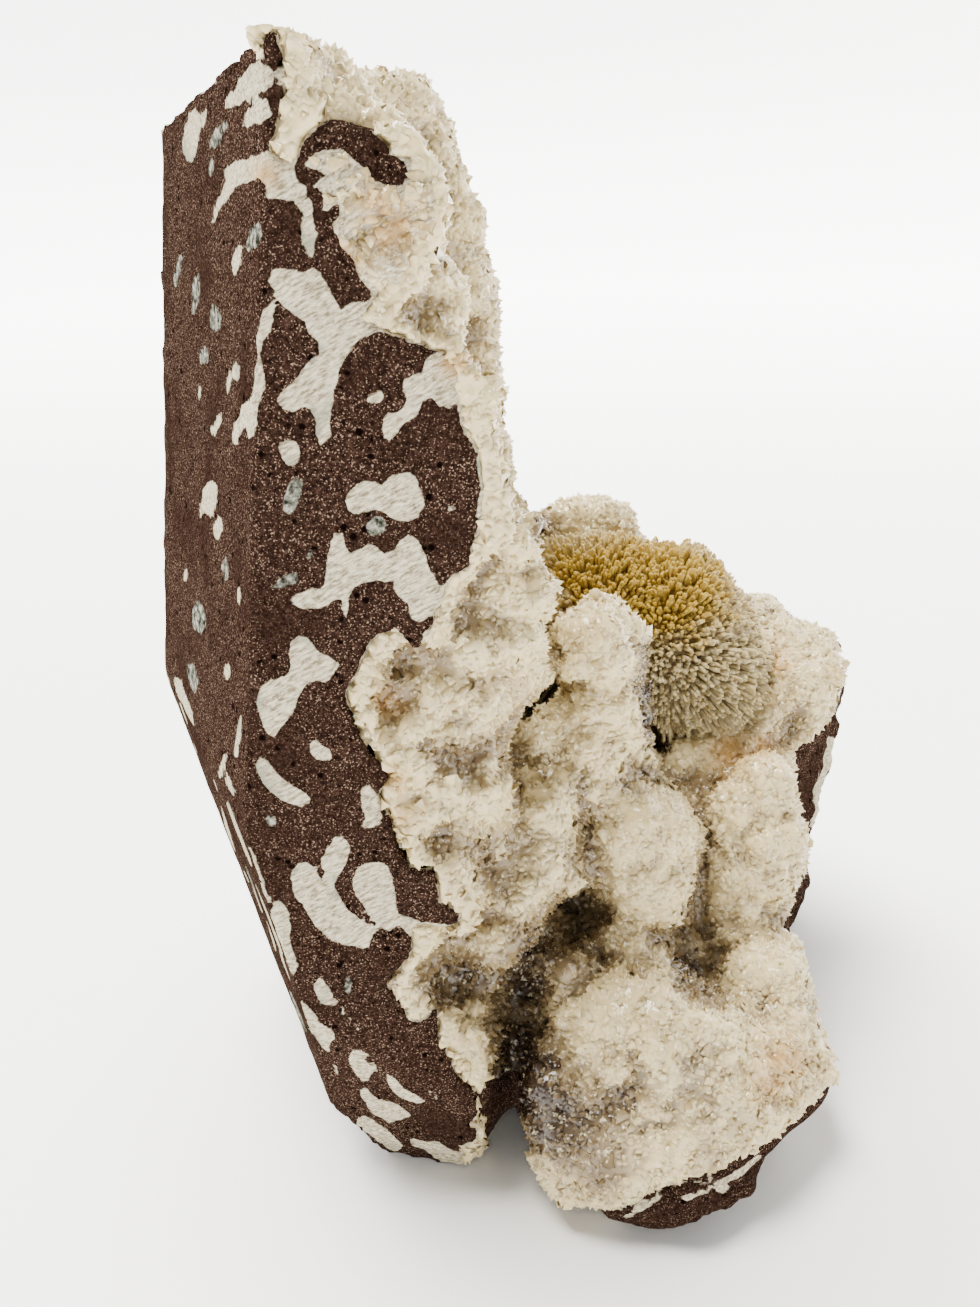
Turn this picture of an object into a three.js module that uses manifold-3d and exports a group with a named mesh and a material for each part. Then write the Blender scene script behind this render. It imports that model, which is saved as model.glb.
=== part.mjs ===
// Scolecite on chalcedony, a cabinet specimen from a basalt cavity.
// Three things grew together: a block of dark vesicular basalt with a few flat worn faces, the lumpy
// crust of chalcedony and small quartz points that lines the broken cavity, and one radiating ball of
// scolecite needles at the back of the cavity. Millimetres, +Z up. The origin is on the ground, under
// the middle of the block. -Y is the front, where the tall wall shows its narrow flat face.
import * as THREE from "three";
import { mergeVertices } from "three/addons/utils/BufferGeometryUtils.js";
import { ImprovedNoise } from "three/addons/math/ImprovedNoise.js";
import Module from "manifold-3d";

const wasm = await Module();
wasm.setup();

// Driving dimensions
const HEIGHT = 201; // ground to the tip of the tall wall
const GAP = 0.3; // clear space between rock, crust and needles
const FRONT = 55; // the flat front face meets the ground this far in front of the origin
const FRONT_LEAN = 0.06; // the front face leans back by this much for each mm of height
const EDGE_DEPTH = 38; // behind its drawn edge, the front of the wall evens out over this depth
const CAVITY_LEAN = 0.204; // the wall gets this much thicker for each mm down
const CAVITY_TOP_X = -36; // where its inner side stands at the height of CAVITY_TOP_Z
const CAVITY_TOP_Z = 190;
const SKIN = 3.5; // thickness of the crust where it lies flat on the rock
const WALL_FOOT_X = -4; // only left of this is the crust cut flush with the front face
const SAG = 0.2; // share of its thickness by which the skin hangs lower
const RIM = 4; // the crust stops this far short of the back
const UNDERSIDE = 1.5; // and this far above the ground
const FACET = 7.4; // length of a facet of the crust's lumps
const ROUGHNESS = 1.8; // how far the lumps' surface wanders out and in
const FULLNESS = 1.3; // the lumps stand this much fuller than their radii, which flat facets cut short
const SOCKET_ROOM = 1.065; // the socket round the needle ball is this much wider than the ball's reach

// Solids

// A closed geometry as a solid that can be joined and cut.
function solid(geometry) {
  const bare = geometry.index ? geometry.toNonIndexed() : geometry.clone();
  bare.deleteAttribute("normal");
  bare.deleteAttribute("uv");
  const merged = mergeVertices(bare, 1e-4);
  return new wasm.Manifold(
    new wasm.Mesh({
      numProp: 3,
      vertProperties: new Float32Array(merged.attributes.position.array),
      triVerts: new Uint32Array(merged.index.array),
    }),
  );
}

function geometryOf(manifold) {
  const mesh = manifold.getMesh();
  return new THREE.BufferGeometry()
    .setAttribute("position", new THREE.BufferAttribute(new Float32Array(mesh.vertProperties), 3))
    .setIndex(new THREE.BufferAttribute(new Uint32Array(mesh.triVerts), 1));
}

const join = (solids) => wasm.Manifold.union(solids);

// The largest piece of a solid: loose crumbs and sealed pockets are dropped.
const mainPiece = (whole) => whole.decompose().sort((a, b) => b.volume() - a.volume())[0];

// The solid swollen a little: each corner moves until all the faces that meet there have moved out by
// the given distance. This is what a neighbour is cut with, to stay clear of the solid.
function swollen(whole, distance) {
  const rounds = 40;
  const farthest = 4 * distance;
  const tiny = 0.01; // a face smaller than this has no clear direction
  const geometry = geometryOf(whole);
  const { array: index } = geometry.index;
  const position = geometry.attributes.position;
  const facesAt = Array.from({ length: position.count }, () => []);
  const [a, b, c] = [new THREE.Vector3(), new THREE.Vector3(), new THREE.Vector3()];
  for (let i = 0; i < index.length; i += 3) {
    a.fromBufferAttribute(position, index[i]);
    b.fromBufferAttribute(position, index[i + 1]).sub(a);
    c.fromBufferAttribute(position, index[i + 2]).sub(a);
    const normal = b.clone().cross(c);
    if (normal.length() / 2 < tiny) continue;
    normal.normalize();
    [0, 1, 2].forEach((k) => facesAt[index[i + k]].push(normal));
  }
  facesAt.forEach((normals, i) => {
    const move = new THREE.Vector3();
    for (let round = 0; round < rounds; round += 1) {
      for (const normal of normals) move.addScaledVector(normal, Math.max(0, distance - move.dot(normal)));
    }
    a.fromBufferAttribute(position, i).add(move.clampLength(0, farthest));
    position.setXYZ(i, a.x, a.y, a.z);
  });
  return solid(geometry);
}

// Keeps what lies behind a flat face. The face passes through a point, its normal looks outwards.
// Inset moves the cut inwards.
function cutFlat(whole, { through, facing }, inset = 0) {
  const normal = new THREE.Vector3(...facing).normalize();
  const reach = normal.dot(new THREE.Vector3(...through)) - inset;
  return whole.trimByPlane(normal.clone().negate().toArray(), -reach);
}

const cutAll = (whole, faces) => Object.values(faces).reduce((kept, face) => cutFlat(kept, face), whole);

function block([x0, x1], [y0, y1], [z0, z1]) {
  const box = new THREE.BoxGeometry(x1 - x0, y1 - y0, z1 - z0);
  return solid(box.translate((x0 + x1) / 2, (y0 + y1) / 2, (z0 + z1) / 2));
}

// A rough ball or stone: an icosahedron pushed in and out by smooth noise, so that its facets differ.
const noise = new ImprovedNoise();

function stone({ at, radius, roughness, detail }, thicker = 0) {
  const radii = new THREE.Vector3(...radius).addScalar(thicker);
  const pebble = new THREE.IcosahedronGeometry(1, detail);
  const corner = new THREE.Vector3();
  const position = pebble.attributes.position;
  for (let i = 0; i < position.count; i += 1) {
    corner.fromBufferAttribute(position, i);
    const [x, y, z] = corner.toArray().map((c, axis) => c * 3 + at[axis] * 0.37);
    const push = 1 + roughness * (noise.noise(x, y, z) + 0.6 * noise.noise(2.3 * x, 2.3 * y, 2.3 * z));
    corner.multiplyScalar(push).multiply(radii);
    position.setXYZ(i, corner.x, corner.y, corner.z);
  }
  return solid(pebble.translate(...at));
}

const ball = (at, r, shape) => stone({ at, radius: [r, r, r], ...shape });

// The surface of a shape that is given by its depth at each place, above 0 inside and below 0 outside,
// as one closed mesh of even facets. Space is cut into cubes, and each cube that the surface passes
// through gets one corner of the mesh, in the middle of where the surface crosses the cube's edges.
function wrap(depthAt, low, high, size) {
  const counts = low.map((from, axis) => Math.ceil((high[axis] - from) / size) + 1);
  const strides = [1, counts[0], counts[0] * counts[1]];
  const gridOf = (index) => strides.map((stride, axis) => Math.floor(index / stride) % counts[axis]);
  const depths = Float64Array.from({ length: strides[2] * counts[2] }, (_, index) =>
    depthAt(...gridOf(index).map((step, axis) => low[axis] + step * size)),
  );
  const isCell = (index) => gridOf(index).every((step, axis) => step < counts[axis] - 1);
  const cells = [...depths.keys()].filter(isCell);
  fillDiagonals(depths, cells, strides);

  const points = [];
  const pointOf = new Map();
  for (const cell of cells) {
    const sum = new THREE.Vector3();
    let crossings = 0;
    for (const [from, to] of cubeEdges(strides)) {
      const [a, b] = [depths[cell + from], depths[cell + to]];
      if (a > 0 === b > 0) continue;
      const start = new THREE.Vector3(...gridOf(cell + from));
      sum.add(start.lerp(new THREE.Vector3(...gridOf(cell + to)), a / (a - b)));
      crossings += 1;
    }
    if (crossings === 0) continue;
    pointOf.set(cell, points.length / 3);
    points.push(...sum.divideScalar(crossings).toArray().map((c, axis) => low[axis] + c * size));
  }

  const faces = [];
  for (const corner of cells) {
    for (let axis = 0; axis < 3; axis += 1) {
      const inside = depths[corner] > 0;
      if (inside === depths[corner + strides[axis]] > 0) continue;
      const [u, v] = [strides[(axis + 1) % 3], strides[(axis + 2) % 3]];
      const ring = [corner - u - v, corner - v, corner, corner - u].map((cell) => pointOf.get(cell));
      const [a, b, c, d] = inside ? ring : ring.reverse();
      faces.push(a, b, c, a, c, d);
    }
  }
  const geometry = new THREE.BufferGeometry();
  geometry.setAttribute("position", new THREE.BufferAttribute(new Float32Array(points), 3));
  return solid(geometry.setIndex(faces));
}

// The twelve edges of a cube, each as the offsets of its two ends.
function cubeEdges(strides) {
  const [x, y, z] = strides;
  const around = (a, b) => [0, a, b, a + b];
  return [
    ...around(y, z).map((from) => [from, from + x]),
    ...around(x, z).map((from) => [from, from + y]),
    ...around(x, y).map((from) => [from, from + z]),
  ];
}

// Two parts of the shape never touch along an edge only: where they would, the place between is filled.
function fillDiagonals(depths, cells, strides) {
  const barely = 0.3;
  let changed = true;
  while (changed) {
    changed = false;
    for (const cell of cells) {
      for (let axis = 0; axis < 3; axis += 1) {
        const [u, v] = [strides[axis], strides[(axis + 1) % 3]];
        const corners = [cell, cell + u, cell + u + v, cell + v];
        const [a, b, c, d] = corners.map((corner) => depths[corner] > 0);
        if (a !== c || b !== d || a === b) continue;
        depths[a ? corners[1] : corners[0]] = barely;
        changed = true;
      }
    }
  }
}

// Basalt

const BACK = { through: [0, 72, 100], facing: [0.06, 0.99, 0.1] };
const WALL_FACES = {
  front: { through: [0, -FRONT, 0], facing: [0, -1, FRONT_LEAN] },
  side: { through: [-41.2, -43, HEIGHT], facing: [-0.898, -0.426, 0.112] },
  lowSide: { through: [-76.3, 5, 70], facing: [-0.893, -0.414, -0.174] },
  undercut: { through: [-76.3, 5, 70], facing: [-0.851, 0, -0.526] },
  toe: { through: [-30, -52.9, 35], facing: [-0.22, -0.93, -0.29] },
  backLeft: { through: [-76, 18, 100], facing: [-0.66, 0.75, 0] },
  back: BACK,
  top: { through: [-42, -43, HEIGHT], facing: [-0.14, 0.111, 0.985] },
};

const BASE_FACES = {
  right: { through: [68, 35, 0], facing: [0.842, -0.539, -0.047] },
  backRight: { through: [73.5, 38, 81], facing: [0.8, 0.59, -0.03] },
  backCorner: { through: [48, 68, 40], facing: [0.42, 0.9, -0.1] },
  back: BACK,
  topLeft: { through: [5, 60, 97], facing: [-0.5, 0, 0.87] },
};
const SHELF = { through: [10, 60, 93], facing: [0.36, 0.02, 0.93] }; // the crusted top behind the bowl
const BASE_STONE = { at: [22, 30, 34], radius: [63, 56, 80], roughness: 0.14, detail: 2 };
const BOWL = { at: [18, -6, 78], radius: [47, 66, 56], roughness: 0.08, detail: 2 };
const WALL_HOLLOW = { at: [28, 8, 168], radius: [65, 50, 76], roughness: 0.08, detail: 2 };
const LOBE_STONES = [
  { at: [20, -38, 10], radius: [24, 26, 16], roughness: 0.06, detail: 2 },
  { at: [38, -27, 12], radius: [18, 17, 14], roughness: 0.06, detail: 1 },
];

// The cavity edge of the wall's front face, from the tip down to the toe: [x, z].
const FRONT_EDGE = [
  [-41, 207], [-39, 196], [-40, 191], [-42, 186], [-39, 184], [-38, 188], [-35, 190], [-31, 190],
  [-27, 189], [-25, 186], [-22, 185], [-22, 182], [-20, 180], [-24, 173], [-27, 167], [-31, 164],
  [-22, 161], [-18, 160], [-16, 156], [-15, 150], [-12.5, 143], [-13, 134], [-15, 128], [-19, 125],
  [-21, 118], [-24, 114], [-27, 118], [-31, 115], [-34, 108], [-36, 107], [-32, 97], [-28, 92],
  [-31, 88], [-28.5, 82], [-26, 75], [-21, 74], [-21, 68], [-17, 66], [-18, 63], [-26, 64],
  [-26, 57], [-31, 51], [-27, 43], [-22, 45], [-22, 40], [-17.5, 30], [-14, 27], [-15, 17],
  [-23, -5],
];

// Knobs of rock inside the large lumps of the crust: [x, y, z, radius].
const KNOBS = [
  [-18, -31, 77, 8], [-5, -20, 62, 8], [9, -6, 84, 7], [19, -10, 54, 10], [9, -17, 31, 8],
  [46, 2, 46, 10], [45, 20, 58, 9], [19, -40, 24, 12], [38, -34, 15, 10],
];

const cavityX = (z) => CAVITY_TOP_X + (CAVITY_TOP_Z - z) * CAVITY_LEAN;

// The wall's front, whose ragged edge evens out towards the back into the plain inner side of the wall.
// Rock and crust share these shapes: the crust's skin is the same rock, thicker on its inner side.
function wallFront(thicker) {
  const far = -95;
  const behind = -1.5; // it ends this far inside the plain side, so that the two never share a face
  const outline = new THREE.Shape(FRONT_EDGE.map(([x, z]) => new THREE.Vector2(x, z)));
  outline.lineTo(far, FRONT_EDGE.at(-1)[1]).lineTo(far, FRONT_EDGE[0][1]);
  const slab = new THREE.ExtrudeGeometry(outline, { depth: 1, steps: 2, bevelEnabled: false });
  slab.rotateX(Math.PI / 2).translate(0, 1, 0);
  const position = slab.attributes.position;
  for (let i = 0; i < position.count; i += 1) {
    const [x, depth, z] = [position.getX(i), position.getY(i), position.getZ(i)];
    const bump = 16 * depth * (1 - depth) * noise.noise(z * 0.09, depth * 2.7, 7.5);
    const evened = THREE.MathUtils.lerp(x, cavityX(z) + behind, depth ** 1.3) + bump + thicker;
    const y = -FRONT + FRONT_LEAN * z + depth * EDGE_DEPTH;
    position.setXYZ(i, x > far ? evened : x, depth > 0 ? y + thicker : y, z - SAG * thicker);
  }
  return solid(slab);
}

function wallRock(thicker = 0) {
  const behind = block([-95, 30], [-FRONT + EDGE_DEPTH - 1 - thicker, 90], [0, 210]);
  const face = { through: [CAVITY_TOP_X + thicker, 0, CAVITY_TOP_Z], facing: [1, 0, CAVITY_LEAN] };
  const hollowed = cutFlat(behind, face).subtract(stone(WALL_HOLLOW, -thicker));
  return cutAll(wallFront(thicker).add(hollowed), WALL_FACES);
}

function baseRock(thicker = 0) {
  const body = block([-30, 90], [-21.4 - thicker, 90], [-5, 120]).intersect(stone(BASE_STONE));
  return cutAll(cutFlat(body, SHELF, -thicker), BASE_FACES).subtract(stone(BOWL, -thicker));
}

function basalt() {
  const knobs = KNOBS.map(([x, y, z, r]) => ball([x, y, z], r, { roughness: 0.1, detail: 0 }));
  const whole = join([wallRock(), baseRock(), ...LOBE_STONES.map((s) => stone(s)), ...knobs]);
  return mainPiece(whole.trimByPlane([0, 0, 1], 0));
}

// Chalcedony and quartz crust

// Lumps on the wall, cut off flat by its front face where it was worn: [x, y, z, radius].
const WALL_LUMPS = [
  [-41, -34, 195, 5], [-39, -31, 191, 5], [-41, -33, 186, 5],
  [-24, -33, 178, 5], [-26, -33, 170, 5], [-30, -30, 164, 6], [-23, -20, 165, 8],
  [-35, 40, 191, 9], [-27, 42, 190, 8], [-30, 38, 181, 11], [-23, 42, 171, 9],
  [-18, 46, 158, 8], [-28, 40, 160, 10], [-16, 46, 147, 7], [-16, 46, 134, 8],
  [-14, 48, 120, 8], [-11, 49, 108, 8],
  [-9, -34, 127, 7], [-7, -30, 115, 7], [-11, -34, 110, 8.5], [-18, -38, 111, 7],
  [-15, -34, 98, 9], [-23, -40, 99, 6.5], [-7, -26, 99, 7],
  [-18, -32, 77, 11], [-25, -42, 89, 6.5], [-21, -42, 69, 8], [-14, -34, 50, 8.5], [-9, -30, 46, 9],
  [-15, -40, 38, 7], [-13, -44, 27, 6.5], [-9, -36, 26, 6.5],
];

// Lumps that stand on the cavity floor and the shelf: [x, y, z, radius].
const FLOOR_LUMPS = [
  [-4, -22, 60, 11], [-7, -22, 71, 9],
  [9, -8, 97, 10], [11, -6, 83, 10], [5, -10, 74, 11], [1, -12, 65, 10],
  [19, -12, 58, 13], [21, -12, 47, 12], [10, -12, 62, 9],
  [4, -22, 32, 11], [15, -16, 36, 12], [-3, -20, 21, 10],
  [46, 2, 53, 13], [45, 0, 39, 13], [38, -6, 27, 12], [46, -20, 27, 10],
  [59, 28, 72, 10], [66, 30, 74, 7.5], [55, 24, 62, 10], [47, 20, 58, 11], [34, 17, 51, 12],
  [22, 15, 54, 11], [46, 24, 68, 9], [56, 36, 76, 9], [64, 42, 72, 9], [50, 50, 78, 9],
  [38, 60, 84, 9], [25, 62, 88, 9], [13, 58, 99, 10], [5, 53, 97, 8],
];

// The lobe in front, which lies on its own low stones.
const LOBE_LUMPS = [
  [17, -40, 28, 17], [8, -47, 17, 13], [29, -41, 19, 16.5], [45, -34, 16, 13],
  [18, -51, 12, 13], [7, -53, 11, 9.5], [27, -52, 12, 11], [33, -47, 13, 11], [44, -38, 14, 11],
];
const LOBE_UNDERSIDE = { through: [24, -58, 8.5], facing: [0.16, -0.1, -0.98] };

// More lumps stud the skin where nothing large stands, on the wall and round the bowl.
const STUD_RADIUS = 9.5;

function* wallStuds() {
  for (let z = 34; z < 190; z += 22) {
    for (let y = -8; y < 50; y += 18) {
      const shift = 8 * noise.noise(y * 0.31, z * 0.27, 4.5);
      yield [cavityX(z) - 4 + shift / 2, y + shift, z - shift, STUD_RADIUS + shift / 2];
    }
  }
}

// Beside the front face, small lumps follow its edge, in two rows that take turns.
function* edgeStuds() {
  for (let i = 5; i < FRONT_EDGE.length - 4; i += 2) {
    const [x, z] = FRONT_EDGE[i];
    const back = i % 4 === 1 ? 12 : 23;
    const side = THREE.MathUtils.lerp(x, cavityX(z), back / EDGE_DEPTH) - 1;
    yield [side, -FRONT + FRONT_LEAN * z + back, z, STUD_RADIUS * 0.7];
  }
}

function* bowlStuds() {
  for (let ring = 0; ring < 4; ring += 1) {
    const drop = THREE.MathUtils.degToRad(75 - ring * 22);
    const count = 5 + ring * 4;
    for (let i = 0; i < count; i += 1) {
      const turn = ((i + 0.5 * ring) / count) * 2 * Math.PI;
      const out = [Math.cos(drop) * Math.cos(turn), Math.cos(drop) * Math.sin(turn), -Math.sin(drop)];
      const [x, y, z] = out.map((share, axis) => BOWL.at[axis] + share * BOWL.radius[axis]);
      const behindTheLobe = y > 10 && x > -8 && x < 46;
      if (behindTheLobe) yield [x, y, z, STUD_RADIUS + 2 * noise.noise(ring * 1.7, i * 0.9, 2.5)];
    }
  }
}

function crust(rock) {
  const studs = [...wallStuds(), ...edgeStuds(), ...bowlStuds()];
  const lumps = [...WALL_LUMPS, ...FLOOR_LUMPS, ...LOBE_LUMPS, ...studs];
  const depthAt = (x, y, z) => {
    const depths = lumps.map(([cx, cy, cz, r]) => r - Math.hypot(x - cx, y - cy, z - cz));
    const slow = noise.noise(x * 0.13, y * 0.13, z * 0.13);
    const quick = noise.noise(x * 0.29, y * 0.29, z * 0.29);
    return Math.max(...depths) + FULLNESS + ROUGHNESS * (slow + 0.7 * quick);
  };
  const heap = wrap(depthAt, [-62, -76, -12], [92, 84, 216], FACET);
  const worn = {
    side: WALL_FACES.side,
    right: BASE_FACES.backRight,
    lobe: LOBE_UNDERSIDE,
    ground: { through: [0, 0, UNDERSIDE], facing: [0, 0, -1] },
  };
  const inFront = { through: WALL_FACES.front.through, facing: [0, 1, -FRONT_LEAN] };
  const sawnOff = cutFlat(block([-100, WALL_FOOT_X], [-90, 0], [-5, 215]), inFront);
  const whole = join([heap, wallRock(SKIN), baseRock(SKIN)]).subtract(sawnOff);
  const rims = [BACK, WALL_FACES.backLeft];
  const trimmed = rims.reduce((kept, face) => cutFlat(kept, face, RIM), cutAll(whole, worn));
  const shell = trimmed.subtract(swollen(rock, GAP)).subtract(rock);
  return mainPiece(shell.subtract(socket()));
}

// Scolecite

// Two sprays of needles that grew into each other: centre, radius of the packed core, reach of tips.
const SPRAYS = [
  { at: [12, 31, 83], core: 21, reach: 25.5, needles: 85 },
  { at: [27, 30, 81], core: 21, reach: 25.5, needles: 85 },
];
const NEEDLE = { radius: 2.3, sides: 4 };
const HOLLOW = { at: [8, 16, 65], r: 19 }; // the ball is undercut here, low on its front left

// Directions spread evenly over a ball, by the golden angle.
function* evenDirections(count) {
  for (let i = 0; i < count; i += 1) {
    const z = 1 - (2 * i + 1) / count;
    const turn = i * Math.PI * (3 - Math.sqrt(5));
    const across = Math.sqrt(1 - z * z);
    yield new THREE.Vector3(across * Math.cos(turn), across * Math.sin(turn), z);
  }
}

function needle(centre, direction, core, reach) {
  const foot = core * 0.8;
  const length = reach - foot;
  const cone = new THREE.ConeGeometry(NEEDLE.radius, length, NEEDLE.sides);
  const turn = new THREE.Quaternion().setFromUnitVectors(new THREE.Vector3(0, 1, 0), direction);
  return solid(cone.translate(0, foot + length / 2, 0).applyQuaternion(turn).translate(...centre));
}

function spray({ at, core, reach, needles }) {
  const cones = [...evenDirections(needles)].map((direction, i) =>
    needle(at, direction, core, reach * (1 + 0.05 * noise.noise(i * 0.61, 2.5, 0.5))),
  );
  return join([ball(at, core, { roughness: 0.06, detail: 1 }), ...cones]);
}

const undercut = () => ball(HOLLOW.at, HOLLOW.r, { roughness: 0.05, detail: 1 });

const scolecite = () => join(SPRAYS.map(spray)).subtract(undercut());

// The socket in the crust, a plain ball round the tips of each spray.
const socket = () =>
  join(SPRAYS.map(({ at, reach }) => ball(at, reach * SOCKET_ROOM, { roughness: 0, detail: 2 })));

// The specimen

function piece(name, geometry, colour, roughness) {
  const mesh = new THREE.Mesh(
    geometry,
    new THREE.MeshStandardMaterial({ color: colour, roughness, metalness: 0, flatShading: true }),
  );
  mesh.name = name;
  return mesh;
}

const rock = basalt();
const needles = mainPiece(scolecite().subtract(swollen(rock, GAP)));
const lining = crust(rock);

const specimen = new THREE.Group();
specimen.add(
  piece("basalt_matrix", geometryOf(rock), 0x5a4640, 0.85),
  piece("chalcedony_quartz_crust", geometryOf(lining), 0xe6dccb, 0.35),
  piece("scolecite_spray", geometryOf(needles), 0xcdb27c, 0.4),
);

export default specimen;
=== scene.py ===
# Scolecite on chalcedony: the looks of the specimen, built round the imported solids.
import math

import bmesh
import bpy
import numpy as np
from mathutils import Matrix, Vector, noise
from mathutils.bvhtree import BVHTree


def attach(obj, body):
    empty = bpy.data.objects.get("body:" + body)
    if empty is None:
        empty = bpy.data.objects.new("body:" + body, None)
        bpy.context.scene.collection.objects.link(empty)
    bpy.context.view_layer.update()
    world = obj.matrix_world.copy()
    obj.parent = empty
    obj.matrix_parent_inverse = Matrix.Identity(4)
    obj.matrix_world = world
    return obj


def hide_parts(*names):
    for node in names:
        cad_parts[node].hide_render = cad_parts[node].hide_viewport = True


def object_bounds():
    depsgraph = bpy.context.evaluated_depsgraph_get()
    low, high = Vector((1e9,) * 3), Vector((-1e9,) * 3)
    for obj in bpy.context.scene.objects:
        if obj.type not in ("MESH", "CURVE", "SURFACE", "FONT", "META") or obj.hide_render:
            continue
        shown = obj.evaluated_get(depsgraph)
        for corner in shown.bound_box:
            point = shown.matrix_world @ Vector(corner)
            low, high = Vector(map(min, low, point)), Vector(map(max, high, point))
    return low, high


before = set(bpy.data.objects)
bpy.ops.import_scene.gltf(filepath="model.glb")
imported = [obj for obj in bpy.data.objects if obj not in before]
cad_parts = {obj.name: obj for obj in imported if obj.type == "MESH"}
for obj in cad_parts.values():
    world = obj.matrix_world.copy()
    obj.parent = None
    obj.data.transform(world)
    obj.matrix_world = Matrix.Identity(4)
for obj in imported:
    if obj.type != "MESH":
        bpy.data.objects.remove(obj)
cad_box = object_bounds()
MM = 0.001


def add_object(name, data):
    made = bpy.data.objects.new(name, data)
    bpy.context.scene.collection.objects.link(made)
    return made


def unit(directions):
    return directions / np.linalg.norm(directions, axis=1, keepdims=True)


# Studio: a pale floor that curves up into a pale backdrop, a broad soft light overhead and a weak fill.
# The camera is a phone's main lens held close, looking down at the narrow face of the wall. FOCAL is its
# focal length in pixels of the photo.

PITCH = math.radians(24)
CAMERA_AT = Vector((-0.012, -0.215, 0.188))
LENS_MM, SENSOR_MM = 32, 36
PHOTO_W, PHOTO_H = 980, 1307
FOCAL = PHOTO_H * LENS_MM / SENSOR_MM

camera_data = bpy.data.cameras.new("camera")
camera_data.lens = LENS_MM
camera_data.sensor_width = SENSOR_MM
camera_data.clip_start = 0.01
camera = add_object("camera", camera_data)
camera.location = CAMERA_AT
camera.rotation_euler = (math.pi / 2 - PITCH, 0, 0)
bpy.context.scene.camera = camera


def bowl_mesh(flat, radius, height, sides=96, steps=24):
    """A round floor whose rim curves up into a wall, the same from every side."""
    profile = [(flat, 0.0)]
    for i in range(1, steps + 1):
        turn = math.pi / 2 * i / steps
        profile.append((flat + radius * math.sin(turn), radius * (1 - math.cos(turn))))
    profile.append((flat + radius, height))
    turns = [2 * math.pi * i / sides for i in range(sides)]
    verts = [(0, 0, 0)] + [(r * math.cos(t), r * math.sin(t), z) for r, z in profile for t in turns]
    faces = [(0, 1 + i, 1 + (i + 1) % sides) for i in range(sides)]
    for row in range(len(profile) - 1):
        a = 1 + row * sides
        for i in range(sides):
            j = (i + 1) % sides
            faces.append((a + i, a + sides + i, a + sides + j, a + j))
    mesh = bpy.data.meshes.new("backdrop")
    mesh.from_pydata(verts, [], faces)
    for polygon in mesh.polygons:
        polygon.use_smooth = True
    return mesh


backdrop = add_object("backdrop", bowl_mesh(flat=1.5, radius=1.0, height=2.6))


class Socket:
    """A shader socket that can be added, multiplied and mixed, so that a material reads as maths."""

    def __init__(self, tree, socket):
        self.tree, self.socket = tree, socket

    def node(self, kind, inputs=(), output=0, **settings):
        """Any node: its settings come first, then the values or links of its sockets."""
        made = self.tree.nodes.new(kind)
        for key, value in settings.items():
            setattr(made, key, value)
        for key, value in dict(inputs).items():
            if isinstance(value, Socket):
                self.tree.links.new(value.socket, made.inputs[key])
            else:
                made.inputs[key].default_value = value
        return Socket(self.tree, made.outputs[output])

    def maths(self, operation, other):
        return self.node("ShaderNodeMath", {0: self, 1: other}, operation=operation)

    def __add__(self, other):
        return self.maths("ADD", other)

    def __sub__(self, other):
        return self.maths("SUBTRACT", other)

    def __mul__(self, other):
        return self.maths("MULTIPLY", other)

    def __rsub__(self, other):
        return self * -1 + other

    __radd__, __rmul__ = __add__, __mul__

    def between(self, low, high):
        """0 up to low, 1 from high on, and a smooth step from one to the other."""
        inputs = {"Value": self, "From Min": low, "From Max": high}
        return self.node("ShaderNodeMapRange", inputs, interpolation_type="SMOOTHSTEP")

    def mix(self, other, factor):
        """This colour turned into the other by the factor; 6 and 7 are the Mix node's two colours."""
        inputs = {"Factor": factor, 6: self, 7: other}
        return self.node("ShaderNodeMix", inputs, output=2, data_type="RGBA")

    def colours(self, *stops):
        """A colour ramp, given as pairs of a place and a colour."""
        made = self.node("ShaderNodeValToRGB", {0: self})
        ramp = made.socket.node.color_ramp
        while len(ramp.elements) < len(stops):
            ramp.elements.new(0.5)
        for element, (place, colour) in zip(ramp.elements, stops):
            element.position = place
            element.color = (*colour, 1)
        return made

    def noise(self, scale, detail, roughness=0.55):
        inputs = {"Vector": self, "Scale": scale, "Detail": detail, "Roughness": roughness}
        return self.node("ShaderNodeTexNoise", inputs)

    def cells(self, scale):
        return self.node("ShaderNodeTexVoronoi", {"Vector": self, "Scale": scale})

    def attribute(self, name):
        return self.node("ShaderNodeAttribute", output="Fac", attribute_name=name)

    def bump(self, distance, strength):
        return self.node("ShaderNodeBump", {"Height": self, "Distance": distance, "Strength": strength})


def new_material(name, **constants):
    """A material, its Object coordinates, and a call that links what varies over its surface."""
    material = bpy.data.materials.new(name)
    material.use_nodes = True
    tree = material.node_tree
    surface = tree.nodes["Principled BSDF"].inputs
    for key, value in constants.items():
        surface[key.replace("_", " ")].default_value = value
    place = Socket(tree, tree.nodes.new("ShaderNodeTexCoord").outputs["Object"])

    def finish(**varying):
        for key, value in varying.items():
            tree.links.new(value.socket, surface[key.replace("_", " ")])

    return material, place, finish


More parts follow.
